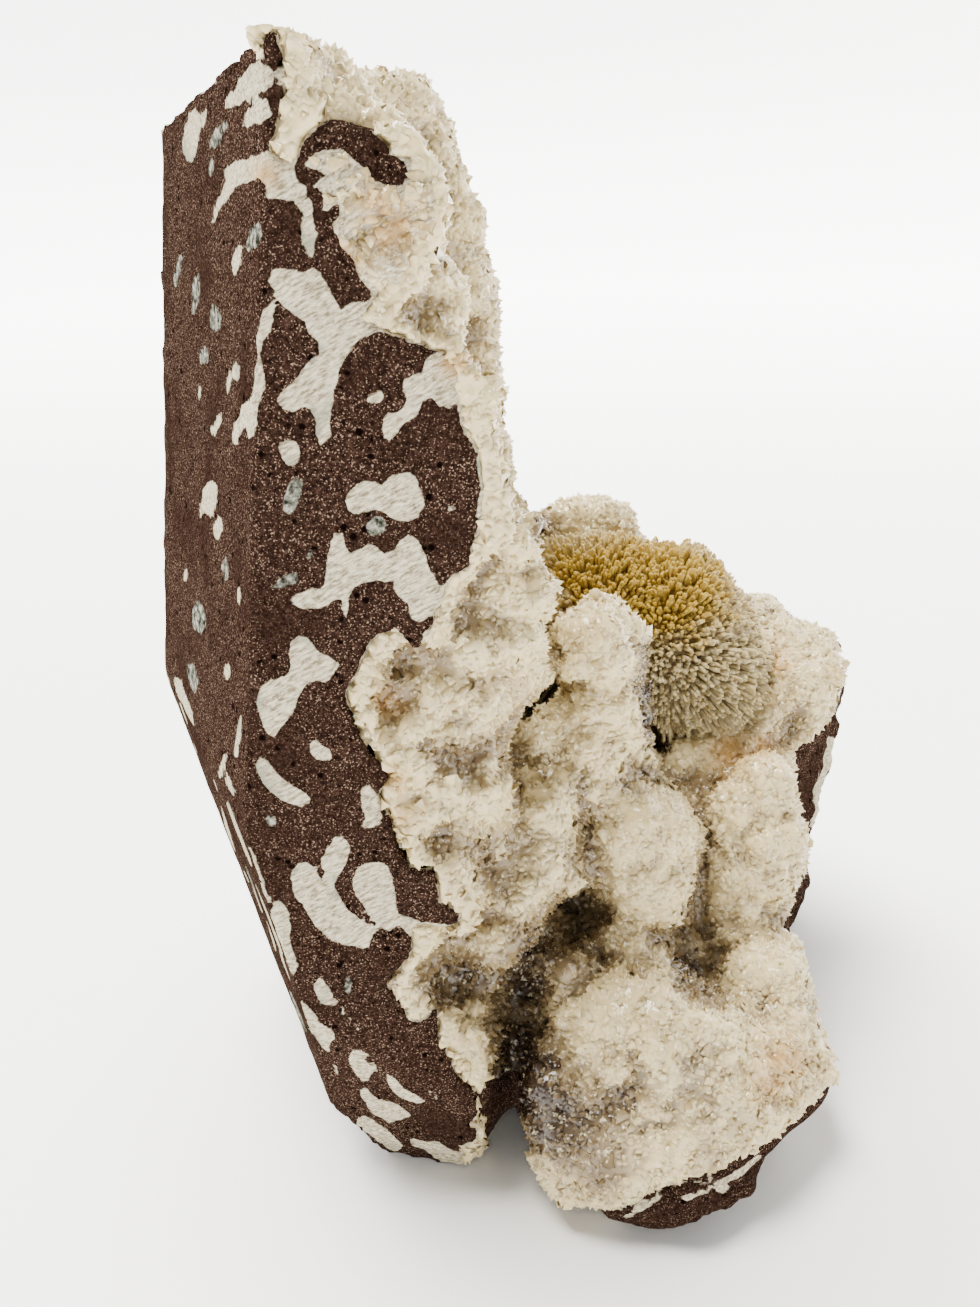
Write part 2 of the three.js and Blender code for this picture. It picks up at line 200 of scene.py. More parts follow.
# The paper: white on the floor and behind, greyer on the walls beside the camera. It glows a little as
# painted light, and the floor's glow is left out round the lobe, which paints a shadow there.
WHITE_PAPER, GREY_PAPER = (0.9, 0.895, 0.88, 1), (0.3, 0.3, 0.295, 1)
UNDER_THE_LOBE = (0.03, -0.03, 0)
paper, place, finish = new_material("paper", Roughness=0.9, Emission_Strength=1.0)
behind, height = (place.node("ShaderNodeSeparateXYZ", {"Vector": place}, output=axis) for axis in "YZ")
from_the_lobe = place.node(
    "ShaderNodeVectorMath", {0: place, 1: UNDER_THE_LOBE}, output="Value", operation="DISTANCE"
)
grey_walls = height.between(0.1, 0.8) * behind.between(1.1, 0.2)
# Painted light on the floor, left out round the lobe, where the missing glow paints a shadow.
painted_floor_glow = height.between(0.4, 0.0) * from_the_lobe.between(0.05, 0.14)
# The backdrop behind glows brightly: painted light, which also lights the specimen from behind.
finish(
    Base_Color=place.node(
        "ShaderNodeMix", {"Factor": grey_walls, 6: WHITE_PAPER, 7: GREY_PAPER}, output=2, data_type="RGBA"
    ),
    Emission_Color=behind.between(0.1, 1.2) * 3.2 + painted_floor_glow * 1.6,
)
backdrop.data.materials.append(paper)

overhead = bpy.data.lights.new("overhead", "SUN")
overhead.energy = 9.0
overhead.angle = math.radians(28)
overhead.color = (1, 0.97, 0.92)
lamp = add_object("overhead", overhead)
lamp.rotation_euler = Vector((-0.3, 0.1, 1)).to_track_quat("Z", "Y").to_euler()

world = bpy.data.worlds.new("world")
world.use_nodes = True
fill = world.node_tree.nodes["Background"].inputs
fill["Color"].default_value, fill["Strength"].default_value = (1, 0.98, 0.95, 1), 0.18
bpy.context.scene.world = world


# Basalt: one block with worn flat faces at the front and left and a rough broken back. It is a dark
# mauve-brown, fine-grained lava full of old gas bubbles, most of them filled flush with white or
# grey-green minerals, which were cut through where the front faces are flat.


def merged(node):
    """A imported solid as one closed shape, with its loose triangles joined."""
    shape = bmesh.new()
    shape.from_mesh(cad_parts[node].data)
    bmesh.ops.remove_doubles(shape, verts=shape.verts, dist=1e-6)
    bmesh.ops.recalc_face_normals(shape, faces=shape.faces)
    return shape


def object_of(shape, name):
    mesh = bpy.data.meshes.new(name)
    shape.to_mesh(mesh)
    shape.free()
    return add_object(name, mesh)


def remeshed(rough, name, voxel, smoothing=0):
    """The outer skin of an object as an even mesh, which takes the object's place."""
    remesh = rough.modifiers.new("even", "REMESH")
    remesh.mode = "VOXEL"
    remesh.voxel_size = voxel
    if smoothing:
        smooth = rough.modifiers.new("soften", "SMOOTH")
        smooth.iterations = smoothing
        smooth.factor = 0.5
    depsgraph = bpy.context.evaluated_depsgraph_get()
    mesh = bpy.data.meshes.new_from_object(rough.evaluated_get(depsgraph))
    mesh.name = name
    bpy.data.objects.remove(rough)
    return add_object(name, mesh)


def points_of(mesh, what="co"):
    values = np.empty(len(mesh.vertices) * 3, np.float32)
    mesh.vertices.foreach_get(what, values)
    return values.reshape(-1, 3).astype(float)


def normals_of(mesh):
    return points_of(mesh, "normal")


def set_points(mesh, points):
    mesh.vertices.foreach_set("co", points.astype(np.float32).ravel())
    mesh.update()


def add_attribute(mesh, name, values):
    mesh.attributes.new(name, "FLOAT", "POINT").data.foreach_set("value", values.astype(np.float32))


def rumble(points, size, seed, octaves=3):
    """Smooth noise round 0, mostly between -0.7 and 0.7, with features of the given size."""
    shift = Vector((seed * 17.3, seed * 7.1, seed * 3.7))
    scaled = points / size
    return np.array([noise.fractal(Vector(p) + shift, 0.9, 2.1, octaves) for p in scaled])


def spread(mesh, values, rounds):
    """Values of the points, averaged with their neighbours' again and again."""
    edges = np.empty(len(mesh.edges) * 2, np.int32)
    mesh.edges.foreach_get("vertices", edges)
    a, b = edges.reshape(-1, 2).T
    total = len(mesh.vertices)
    count = np.maximum(np.bincount(a, minlength=total) + np.bincount(b, minlength=total), 1)
    for _ in range(rounds):
        values = (np.bincount(a, values[b], total) + np.bincount(b, values[a], total)) / count
    return values


def spread_vectors(mesh, vectors, rounds):
    return np.stack([spread(mesh, vectors[:, axis], rounds) for axis in range(3)], 1)


ROCK_VOXEL = 1.25 * MM
basalt = remeshed(object_of(merged("basalt_matrix"), "rough_basalt"), "basalt", ROCK_VOXEL, smoothing=1)
basalt_tree = BVHTree.FromBMesh(merged("basalt_matrix"))
rock_points, rock_normals = points_of(basalt.data), normals_of(basalt.data)

# How rough each place is: little on the worn faces, which are told by where they look, and 1 on broken rock.
WORN, ALIGNED = 0.12, 0.93
FRONT_FACE = [0.0, -1.0, 0.06]
SIDE_FACES = [[-0.898, -0.426, 0.112], [-0.893, -0.414, -0.174], [-0.22, -0.93, -0.29]]
on_the_ground = rock_points[:, 2] < 0.8 * MM
worn = (rock_normals @ np.array(FRONT_FACE) > ALIGNED) & (rock_points[:, 0] < 0.0) | on_the_ground
for face in SIDE_FACES:
    worn |= rock_normals @ np.array(face) > ALIGNED
broken = np.where(worn, WORN, 1.0)
broken = np.clip(spread(basalt.data, broken, 12) * 1.6 - 0.6, WORN, broken)
coarse = rumble(rock_points, 16 * MM, 1)
fine = rumble(rock_points, 3.5 * MM, 2)
push = broken * (1.9 * MM * coarse + 0.8 * MM * fine)
push[on_the_ground] = 0
# The solids' box, which no piece may leave. The foot of the rock stays on the ground.
box_low, box_high = np.array(cad_box[0]) + 0.1 * MM, np.array(cad_box[1]) - 0.1 * MM
rock_low = box_low * (1, 1, 0)
set_points(basalt.data, np.clip(rock_points + rock_normals * push[:, None], rock_low, box_high))

# Outlines of the filled bubbles, traced on the photo, in its pixels, one after another.
CAP_MASS = [
    (304, 166), (310, 156), (322, 150), (340, 149), (347, 154), (356, 161), (364, 167), (370, 177),
    (379, 184), (400, 187), (413, 180), (440, 168), (452, 190), (440, 215), (430, 240), (410, 262),
    (396, 290), (378, 296), (366, 286), (356, 268), (350, 256), (342, 246), (338, 236), (328, 228),
    (341, 216), (341, 207), (333, 204), (326, 213), (323, 205), (324, 192), (312, 190), (304, 196),
    (298, 200), (296, 192), (306, 188), (316, 184), (325, 176), (318, 168), (310, 166),
]
WHITE_SPOTS = [
    CAP_MASS,
    [(196, 108), (200, 114), (200, 130), (196, 150), (192, 163), (186, 160), (184, 146), (186, 125),
     (190, 111)],
    [(206, 109), (205, 120), (202, 128), (200, 124), (202, 113)],
    [(229, 65), (225, 74), (217, 82), (209, 89), (208, 84), (215, 75), (222, 68)],
    [(244, 74), (236, 84), (228, 97), (220, 108), (231, 108), (243, 101), (256, 95), (268, 90), (275, 80),
     (270, 68), (258, 60), (250, 66)],
    [(262, 100), (252, 106), (244, 116), (241, 124), (246, 128), (256, 124), (266, 120), (272, 112),
     (272, 101)],
    [(300, 118), (290, 138), (282, 152), (266, 152), (250, 157), (236, 161), (226, 168), (222, 176),
     (228, 175), (224, 186), (218, 197), (214, 210), (210, 226), (215, 222), (220, 208), (228, 196),
     (238, 186), (250, 181), (262, 178), (266, 188), (266, 200), (280, 200), (292, 202), (300, 208),
     (302, 218), (302, 235), (304, 250), (308, 262), (313, 258), (313, 240), (318, 232), (312, 222),
     (312, 205), (305, 196), (300, 188), (296, 178), (294, 165), (297, 150), (303, 140), (312, 130),
     (322, 122), (330, 118), (318, 113), (305, 114)],
    [(270, 275), (276, 268), (288, 270), (300, 268), (305, 275), (312, 266), (319, 270), (323, 280),
     (330, 291), (336, 301), (341, 309), (347, 302), (360, 300), (390, 310), (395, 320), (388, 328),
     (370, 336), (356, 343), (346, 354), (340, 368), (336, 382), (334, 395), (331, 410), (330, 425),
     (332, 436), (326, 446), (320, 446), (317, 434), (318, 420), (313, 410), (305, 405), (297, 411),
     (288, 413), (279, 408), (276, 400), (282, 390), (295, 382), (300, 372), (308, 362), (318, 356),
     (322, 350), (318, 340), (308, 332), (306, 322), (298, 316), (288, 310), (278, 302), (276, 290),
     (270, 282)],
    [(243, 243), (244, 252), (240, 265), (236, 278), (233, 278), (233, 265), (236, 252), (240, 244)],
    [(270, 303), (275, 308), (274, 320), (270, 332), (263, 338), (260, 350), (261, 362), (265, 378),
     (263, 395), (258, 410), (258, 425), (255, 438), (250, 440), (247, 430), (242, 426), (240, 415),
     (243, 403), (252, 400), (253, 388), (257, 372), (257, 355), (256, 340), (259, 325), (262, 310)],
    [(238, 420), (243, 425), (240, 436), (238, 445), (233, 445), (232, 432), (234, 421)],
    [(236, 361), (240, 368), (238, 382), (233, 380), (231, 370)],
    [(229, 371), (231, 378), (229, 392), (226, 396), (225, 385)],
    [(200, 383), (202, 390), (200, 400), (198, 398)],
    [(223, 410), (224, 420), (218, 430), (213, 437), (210, 432), (214, 423), (219, 415)],
    [(214, 480), (217, 486), (217, 500), (214, 512), (210, 516), (205, 512), (200, 518), (200, 505),
     (203, 490), (206, 484)],
    [(222, 517), (222, 528), (218, 540), (214, 540), (213, 528), (216, 518)],
    [(187, 567), (188, 575), (186, 583), (183, 580), (184, 570)],
    [(240, 585), (240, 603), (237, 608), (237, 590)],
    [(180, 677), (184, 690), (190, 705), (195, 722), (194, 730), (188, 728), (183, 715), (179, 700),
     (175, 688), (174, 678)],
    [(228, 662), (232, 668), (231, 676), (227, 681), (224, 676), (225, 666)],
    [(241, 712), (241, 730), (240, 745), (237, 757), (234, 755), (236, 740), (239, 722)],
    [(226, 753), (226, 762), (222, 775), (219, 780), (217, 776), (221, 762)],
    [(227, 774), (232, 783), (236, 793), (234, 796), (228, 788), (224, 778)],
    [(425, 358), (432, 352), (445, 352), (452, 360), (458, 372), (456, 385), (453, 395), (452, 405),
     (445, 410), (438, 407), (435, 400), (428, 398), (421, 402), (420, 412), (412, 420), (403, 424),
     (398, 433), (390, 442), (385, 440), (383, 428), (385, 415), (391, 409), (400, 412), (406, 406),
     (407, 398), (402, 390), (403, 378), (410, 373), (418, 375), (424, 370)],
    [(367, 397), (372, 391), (382, 391), (387, 394), (383, 400), (378, 404), (370, 405)],
    [(344, 500), (352, 488), (362, 482), (374, 480), (382, 484), (390, 477), (400, 473), (411, 473),
     (418, 480), (420, 492), (424, 500), (422, 512), (414, 520), (402, 523), (394, 520), (385, 512),
     (376, 509), (365, 512), (354, 515), (347, 508)],
    [(448, 505), (453, 503), (457, 507), (456, 512), (451, 514), (447, 511)],
    [(337, 527), (343, 532), (346, 545), (345, 552), (355, 555), (360, 548), (368, 542), (376, 544),
     (382, 552), (388, 556), (394, 550), (400, 540), (408, 535), (415, 538), (422, 548), (427, 560),
     (431, 572), (438, 582), (441, 595), (438, 610), (428, 616), (420, 623), (412, 616), (408, 605),
     (400, 598), (395, 588), (393, 580), (385, 583), (376, 580), (365, 583), (355, 586), (349, 592),
     (348, 605), (347, 620), (343, 628), (340, 618), (342, 605), (341, 597), (332, 602), (322, 608),
     (310, 609), (298, 608), (288, 603), (290, 597), (300, 593), (312, 590), (322, 588), (325, 578),
     (326, 565), (329, 552), (331, 538)],
    [(280, 442), (290, 440), (298, 442), (300, 452), (297, 465), (290, 466), (283, 458), (279, 450)],
    [(303, 634), (310, 640), (315, 648), (322, 654), (332, 659), (339, 664), (334, 672), (329, 682),
     (322, 682), (314, 679), (307, 684), (302, 692), (298, 702), (292, 712), (286, 722), (280, 728),
     (274, 738), (268, 735), (263, 725), (259, 712), (258, 700), (261, 688), (268, 680), (278, 677),
     (287, 675), (291, 668), (289, 655), (290, 645), (296, 636)],
    [(258, 757), (264, 757), (272, 768), (282, 778), (294, 786), (304, 792), (310, 797), (309, 805),
     (300, 807), (288, 803), (276, 796), (266, 786), (260, 775), (256, 765)],
    [(318, 737), (322, 745), (330, 752), (333, 762), (322, 760), (314, 758), (309, 750), (310, 742)],
    [(300, 862), (308, 864), (316, 872), (322, 882), (326, 876), (322, 865), (321, 856), (328, 848),
     (334, 838), (340, 834), (347, 842), (350, 852), (347, 862), (342, 870), (334, 880), (334, 888),
     (340, 898), (348, 908), (358, 918), (370, 925), (376, 930), (372, 938), (366, 952), (356, 946),
     (346, 945), (332, 940), (320, 930), (310, 918), (303, 905), (295, 895), (291, 880), (293, 870)],
    [(368, 863), (378, 862), (387, 868), (393, 878), (394, 892), (396, 905), (400, 915), (412, 918),
     (428, 924), (440, 932), (438, 940), (425, 945), (415, 940), (405, 930), (398, 925), (390, 930),
     (380, 927), (370, 915), (362, 905), (354, 895), (351, 882), (354, 872), (361, 866)],
    [(364, 780), (370, 785), (376, 795), (380, 808), (384, 820), (378, 828), (366, 830), (361, 826),
     (366, 820), (362, 808), (360, 792)],
    [(243, 846), (250, 846), (256, 858), (260, 872), (265, 888), (270, 903), (262, 903), (255, 900),
     (250, 890), (243, 880), (241, 868), (245, 860)],
    [(272, 896), (280, 900), (288, 912), (291, 925), (290, 940), (294, 955), (298, 968), (294, 978),
     (289, 970), (284, 958), (278, 945), (270, 930), (267, 918), (272, 908)],
    [(281, 970), (285, 985), (290, 1005), (291, 1018), (284, 1008), (279, 995), (274, 985), (276, 975)],
    [(318, 976), (323, 980), (330, 992), (338, 1000), (346, 1010), (354, 1022), (364, 1035),
     (352, 1024), (344, 1014), (334, 1004), (325, 1005), (317, 998), (314, 985)],
    [(302, 998), (308, 1004), (314, 1012), (320, 1022), (330, 1028), (336, 1036), (330, 1045),
     (331, 1056), (322, 1047), (315, 1035), (306, 1025), (300, 1015), (300, 1004)],
    [(354, 1049), (362, 1053), (367, 1062), (373, 1070), (370, 1080), (362, 1082), (355, 1074),
     (350, 1062), (350, 1054)],
    [(366, 1053), (376, 1065), (380, 1074), (374, 1070)],
    [(385, 1074), (392, 1077), (398, 1084), (408, 1091), (418, 1096), (427, 1101), (420, 1104),
     (408, 1102), (398, 1096), (389, 1088)],
    [(359, 1087), (366, 1088), (372, 1096), (380, 1101), (392, 1103), (404, 1110), (410, 1115),
     (402, 1120), (390, 1122), (378, 1116), (368, 1108), (362, 1098)],
    [(360, 1114), (368, 1116), (378, 1124), (388, 1130), (396, 1138), (403, 1146), (396, 1153),
     (385, 1146), (372, 1140), (358, 1138), (351, 1130), (356, 1122)],
    [(410, 1138), (425, 1141), (440, 1142), (452, 1150), (462, 1156), (473, 1162), (466, 1168),
     (461, 1176), (450, 1170), (438, 1160), (424, 1150), (412, 1144)],
    [(428, 1090), (436, 1094), (440, 1100), (434, 1100)],
    [(330, 1060), (336, 1068), (339, 1076), (332, 1068)],
    [(622, 1218), (636, 1206), (660, 1196), (668, 1196), (650, 1206), (634, 1216)],
    [(676, 1196), (700, 1188), (715, 1180), (706, 1190), (684, 1199)],
    [(712, 1184), (735, 1172), (757, 1155), (761, 1157), (738, 1178), (716, 1189)],
    [(690, 1182), (712, 1176), (714, 1178), (692, 1185)],
    [(829, 736), (834, 738), (822, 770), (812, 826), (806, 826), (814, 775)],
    [(836, 700), (838, 701), (831, 722), (829, 721)],
]
GREY_SPOTS = [
    [(228, 118), (229, 124), (222, 134), (219, 145), (213, 150), (210, 144), (213, 134), (221, 124)],
    [(213, 159), (216, 166), (211, 176), (207, 174), (209, 163)],
    [(262, 224), (263, 234), (258, 246), (250, 252), (246, 250), (248, 238), (254, 226), (259, 222)],
    [(182, 254), (182, 262), (178, 275), (175, 287), (173, 284), (175, 268), (179, 256)],
    [(199, 273), (200, 290), (198, 305), (195, 315), (191, 312), (192, 295), (194, 280)],
    [(215, 303), (220, 312), (221, 322), (217, 332), (212, 331), (210, 320), (210, 308)],
    [(204, 345), (208, 352), (207, 362), (203, 367), (200, 358), (201, 348)],
    [(226, 555), (228, 570), (229, 582), (225, 580), (222, 565)],
    [(198, 600), (203, 608), (205, 622), (204, 632), (199, 634), (193, 628), (192, 615), (195, 604)],
    [(193, 662), (198, 672), (199, 684), (196, 693), (191, 687), (187, 675), (188, 664)],
    [(370, 518), (380, 515), (387, 522), (386, 532), (378, 537), (369, 535), (365, 526)],
    [(296, 477), (303, 481), (302, 490), (299, 498), (296, 508), (289, 516), (283, 512), (282, 503),
     (286, 493), (289, 482)],
    [(304, 545), (311, 549), (313, 558), (306, 560), (302, 552)],
    [(292, 569), (298, 574), (297, 582), (290, 586), (284, 583), (280, 588), (274, 592), (271, 588),
     (274, 580), (281, 578), (286, 575)],
    [(270, 812), (277, 820), (274, 828), (266, 822)],
    [(350, 973), (353, 982), (350, 995), (344, 996), (341, 988), (346, 978)],
]


def photo_place(points):
    """Where each point appears in the photo, in its pixels, and the pixels per millimetre there."""
    away = points - np.array(CAMERA_AT)
    ahead = away[:, 1] * math.cos(PITCH) - away[:, 2] * math.sin(PITCH)
    up = away[:, 1] * math.sin(PITCH) + away[:, 2] * math.cos(PITCH)
    x = PHOTO_W / 2 + FOCAL * away[:, 0] / ahead
    y = PHOTO_H / 2 - FOCAL * up / ahead
    return np.stack([x, y], 1), FOCAL / ahead * MM


def depth_in_outlines(places, outlines, reach=14.0):
    """How deep each place lies inside the nearest outline, in pixels; negative outside."""
    deepest = np.full(len(places), -reach)
    for outline in outlines:
        corners = np.array(outline, float)
        near = np.flatnonzero(
            (places > corners.min(0) - reach).all(1) & (places < corners.max(0) + reach).all(1)
        )
        if not len(near):
            continue
        p = places[near][:, None, :]
        a, b = corners[None], np.roll(corners, -1, 0)[None]
        along = np.clip(((p - a) * (b - a)).sum(2) / ((b - a) ** 2).sum(2), 0, 1)
        away = np.linalg.norm(p - a - along[..., None] * (b - a), axis=2).min(1)
        crosses = (a[..., 1] > p[..., 1]) != (b[..., 1] > p[..., 1])
        rise = np.where(b[..., 1] == a[..., 1], 1e-9, b[..., 1] - a[..., 1])
        where = a[..., 0] + (p[..., 1] - a[..., 1]) / rise * (b[..., 0] - a[..., 0])
        inside = (crosses & (p[..., 0] < where)).sum(1) % 2 == 1
        signed = np.where(inside, away, -away)
        deepest[near] = np.maximum(deepest[near], signed)
    return deepest


def seeded_spots(points, count, seed):
    """Rounded spots of random size and stretch, for the sides that the photo doesn't show."""
    rng = np.random.default_rng(seed)
    deepest = np.full(len(points), -3.0)
    for centre in points[rng.integers(0, len(points), count)]:
        size = rng.uniform(1.2, 4.5) * MM
        stretch = rng.uniform(0.6, 1.7, 3)
        away = points - centre
        bend = 0.5 * np.sin(1.4 * away[:, [1, 2, 0]] / size + rng.uniform(0, 6, 3))
        away = np.linalg.norm(away / size / stretch + bend, axis=1)
        deepest = np.maximum(deepest, (1 - away) * size / MM)
    return deepest


rock_places, rock_scale = photo_place(rock_points)
to_camera = unit(np.array(CAMERA_AT) - rock_points)
on_the_photo = ((rock_normals * to_camera).sum(1) > 0.13) & (rock_normals[:, 1] < -0.2)


def rock_depth(outlines, elsewhere):
    """Millimetres inside the outlines where the photo shows the rock, and the other values elsewhere."""
    return np.where(on_the_photo, depth_in_outlines(rock_places, outlines) / rock_scale, elsewhere)


white = rock_depth(WHITE_SPOTS, seeded_spots(rock_points, count=330, seed=5))
grey = rock_depth(GREY_SPOTS, seeded_spots(rock_points, count=150, seed=6))
swell = np.clip(rock_depth([CAP_MASS], -3) / 1.5, 0, 1) * (1.5 + 2.0 * rumble(rock_points, 3.5 * MM, 9)) * MM
set_points(basalt.data, points_of(basalt.data) + rock_normals * swell[:, None])
RUSTY_ROCK = np.array([(398, 222), (385, 240), (265, 175), (452, 365), (395, 235), (350, 262), (372, 200)])
RUST_WIDTH = 13
rust = np.exp(-((rock_places[:, None] - RUSTY_ROCK[None]) ** 2).sum(2) / RUST_WIDTH**2).max(1)
add_attribute(basalt.data, "white_spot", np.clip(white, -3, 3))
add_attribute(basalt.data, "grey_spot", np.clip(grey, -3, 3))
add_attribute(basalt.data, "rust", rust * on_the_photo)
add_attribute(basalt.data, "broken", broken)


def basalt_material():
    material, place, finish = new_material("basalt", Specular_IOR_Level=0.0)
    # The stone: dark grains, paler flecks and open pores, which are painted near-black as the shade inside
    # them.
    grain = place.noise(1700, detail=4, roughness=0.8)
    patches = place.noise(70, detail=3, roughness=0.65)
    stone = grain.colours(
        (0.35, (0.003, 0.0013, 0.0009)), (0.49, (0.022, 0.0115, 0.008)),
        (0.6, (0.055, 0.031, 0.022)), (0.74, (0.135, 0.083, 0.063)),
    )
    stone = stone.mix((0.016, 0.0075, 0.0048, 1), patches.between(0.62, 0.4) * 0.35)
    fleck = place.noise(3400, detail=1, roughness=0.5).between(0.62, 0.7) * patches.between(0.3, 0.55)
    stone = stone.mix((0.34, 0.24, 0.17, 1), fleck * 0.8)
    pore = place.cells(420).between(0.3, 0.16) * place.noise(230, detail=0).between(0.56, 0.6)
    stone = stone.mix((0.003, 0.0015, 0.001, 1), pore)
    # The filled bubbles: white ones with slanting fibres, greenish at the rim, and mottled grey-green ones.
    wobble = (place.noise(300, detail=3, roughness=0.7) - 0.5) * 1.5
    white = place.attribute("white_spot") + wobble
    grey = place.attribute("grey_spot") + wobble
    white_here = white.between(-0.1, 0.1)
    slanted = {"Vector": place, "Rotation": (0, -0.5, 0), "Scale": (1 / 650, 1 / 2000, 1 / 2400)}
    fibres = place.node("ShaderNodeMapping", slanted, vector_type="TEXTURE")
    fibres = fibres.noise(1.0, detail=3, roughness=0.7)
    cream = fibres.colours((0.36, (0.2, 0.165, 0.105)), (0.48, (0.46, 0.4, 0.28)), (0.64, (0.74, 0.67, 0.5)))
    green = place.noise(150, detail=3).between(0.56, 0.7)
    cream = cream.mix((0.24, 0.25, 0.19, 1), green * white.between(1.6, 0.2) * 0.75)
    cream = cream.mix((0.42, 0.22, 0.05, 1), place.attribute("rust") * 0.75)
    mottled = place.noise(750, detail=3, roughness=0.7).colours(
        (0.38, (0.015, 0.014, 0.011)), (0.5, (0.12, 0.125, 0.1)), (0.64, (0.42, 0.4, 0.33))
    )
    colour = stone.mix(mottled, grey.between(-0.12, 0.12)).mix(cream, white_here)
    crags = place.noise(270, detail=3, roughness=0.65) * place.attribute("broken")
    height = grain * 0.9 - pore * 0.8 + white_here * 0.5 + fibres * 0.45 + crags * 4.0
    finish(Base_Color=colour, Roughness=0.85 - white_here * 0.15, Normal=height.bump(0.0005, 0.9))
    return material


def dress(piece, material):
    """One material all over, and smooth shading."""
    piece.data.materials.clear()
    piece.data.materials.append(material)
    for polygon in piece.data.polygons:
        polygon.use_smooth = True


dress(basalt, basalt_material())
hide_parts("basalt_matrix")
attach(basalt, "root")


# Chalcedony and quartz crust: a milky lining of rounded lumps and stubby columns on the broken side of
# the rock. It is one skin here, grown a little into the rock, with deep clefts between the columns.

rng = np.random.default_rng(41)

# The rounded masses that the photo shows, as circles in its pixels with how far each stands proud of the
# solid as a part of its radius.
MASSES = [
    (296, 86, 18, 0.2), (268, 112, 10, 0.2), (352, 98, 20, 0.3), (376, 100, 26, 0.35), (404, 108, 30, 0.4),
    (430, 142, 22, 0.3), (446, 186, 22, 0.3), (460, 222, 26, 0.35), (432, 232, 18, 0.3), (402, 270, 20, 0.3),
    (400, 292, 20, 0.35), (430, 290, 20, 0.3), (466, 288, 26, 0.4), (480, 316, 20, 0.35), (452, 308, 18, 0.3),
    (480, 352, 13, 0.2), (488, 395, 12, 0.2), (494, 455, 12, 0.2), (505, 505, 14, 0.2), (510, 545, 22, 0.25),
    (502, 588, 34, 0.3), (530, 590, 26, 0.3), (470, 640, 36, 0.3), (508, 640, 34, 0.35), (446, 690, 32, 0.3),
    (486, 700, 26, 0.3), (462, 728, 20, 0.25), (420, 712, 18, 0.2), (436, 794, 32, 0.45), (468, 798, 34, 0.5),
    (484, 800, 24, 0.4), (414, 834, 12, 0.3), (434, 852, 16, 0.35), (452, 870, 20, 0.4), (464, 892, 16, 0.3),
    (590, 640, 38, 0.55), (606, 660, 28, 0.5), (602, 704, 36, 0.5), (622, 730, 22, 0.4), (570, 728, 34, 0.55),
    (545, 745, 30, 0.5), (588, 756, 36, 0.5), (558, 790, 30, 0.5), (590, 780, 24, 0.4), (536, 820, 36, 0.5),
    (560, 836, 26, 0.45), (528, 862, 38, 0.55), (552, 872, 30, 0.5), (512, 902, 34, 0.55),
    (494, 932, 28, 0.5), (522, 920, 20, 0.4), (478, 942, 18, 0.4), (630, 826, 46, 0.5), (660, 832, 36, 0.5),
    (645, 880, 40, 0.45), (670, 880, 24, 0.4), (636, 908, 22, 0.3), (662, 912, 20, 0.3), (766, 792, 36, 0.45),
    (738, 812, 30, 0.4), (770, 840, 34, 0.45), (742, 866, 32, 0.4), (774, 880, 20, 0.35),
    (726, 900, 22, 0.35), (742, 918, 16, 0.3), (752, 980, 30, 0.5), (780, 982, 26, 0.5), (794, 1004, 14, 0.4),
    (800, 692, 26, 0.35), (822, 682, 20, 0.3), (744, 746, 18, 0.5), (716, 764, 18, 0.5), (690, 770, 14, 0.4),
    (762, 722, 18, 0.6), (776, 700, 18, 0.5), (778, 676, 16, 0.6), (772, 654, 14, 0.6), (762, 634, 12, 0.6),
    (560, 522, 18, 0.5), (610, 520, 20, 0.4), (540, 524, 12, 0.5), (572, 940, 26, 0.3), (604, 938, 22, 0.3),
    (566, 980, 26, 0.3), (590, 984, 18, 0.3), (424, 940, 16, 0.4), (402, 985, 14, 0.4), (416, 1002, 12, 0.3),
    (452, 980, 16, 0.2), (464, 1042, 22, 0.4), (470, 1066, 18, 0.4), (512, 1060, 10, 0.2),
]
# More lumps, in mm: the knob behind the ball and the rim that its lower right side rests on.
LUMPS = [(11, 55, 102, 7.5), (4, 53, 101, 5.5), (18, 54, 102, 5.5), (30, 9, 62.5, 4), (35, 10, 63.5, 4.5),
         (40, 13, 66, 5), (45, 18, 67, 5), (49, 22, 69, 4.5)]
# The part of the photo where columns stand apart, so that the solid between them goes back, and the
# clefts there, as lines in the photo's pixels with a half width in pixels and a depth in mm.
COLUMNS = [(400, 740), (420, 560), (545, 540), (640, 700), (780, 700), (860, 640), (880, 900), (800, 940),
           (700, 990), (660, 950), (540, 1010), (500, 1110), (430, 1080), (390, 940)]
CLEFTS = [
    (9, 5.0, [(505, 735), (506, 765), (513, 792)]),
    (8, 4.0, [(478, 846), (486, 860), (484, 882)]),
    (7, 5.0, [(582, 788), (584, 830), (583, 880), (592, 905)]),
    (9, 5.5, [(552, 648), (550, 688), (528, 706), (505, 735)]),
    (8, 3.6, [(640, 768), (680, 782), (704, 810), (702, 850), (697, 890), (690, 912)]),
    (14, 6.0, [(600, 916), (560, 904), (530, 950), (500, 974), (450, 966)]),
    (12, 6.0, [(545, 1000), (520, 1020), (508, 1050)]),
    (9, 6.0, [(678, 956), (690, 985), (722, 1004)]),
    (8, 3.2, [(700, 934), (722, 950), (716, 975)]),
    (8, 3.5, [(655, 936), (682, 926), (700, 934)]),
    (8, 4.0, [(600, 965), (575, 985), (552, 1000)]),
    (10, 1.6, [(640, 1058), (636, 1090), (600, 1118), (566, 1112)]),
    (10, 6.0, [(648, 645), (648, 700), (656, 742)]),
    (8, 1.2, [(428, 238), (440, 262), (446, 268)]),
    (8, 3.0, [(385, 100), (400, 130)]),
    (9, 3.0, [(388, 318), (420, 300), (440, 310)]),
    (7, 2.5, [(420, 740), (440, 752), (470, 752), (495, 745)]),
    (26, 12.0, [(524, 985), (514, 1015)]),
    (18, 7.0, [(585, 920), (560, 935)]),
    (18, 12.0, [(510, 1050), (515, 1100)]),
    (14, 7.0, [(480, 985), (450, 990)]),
]

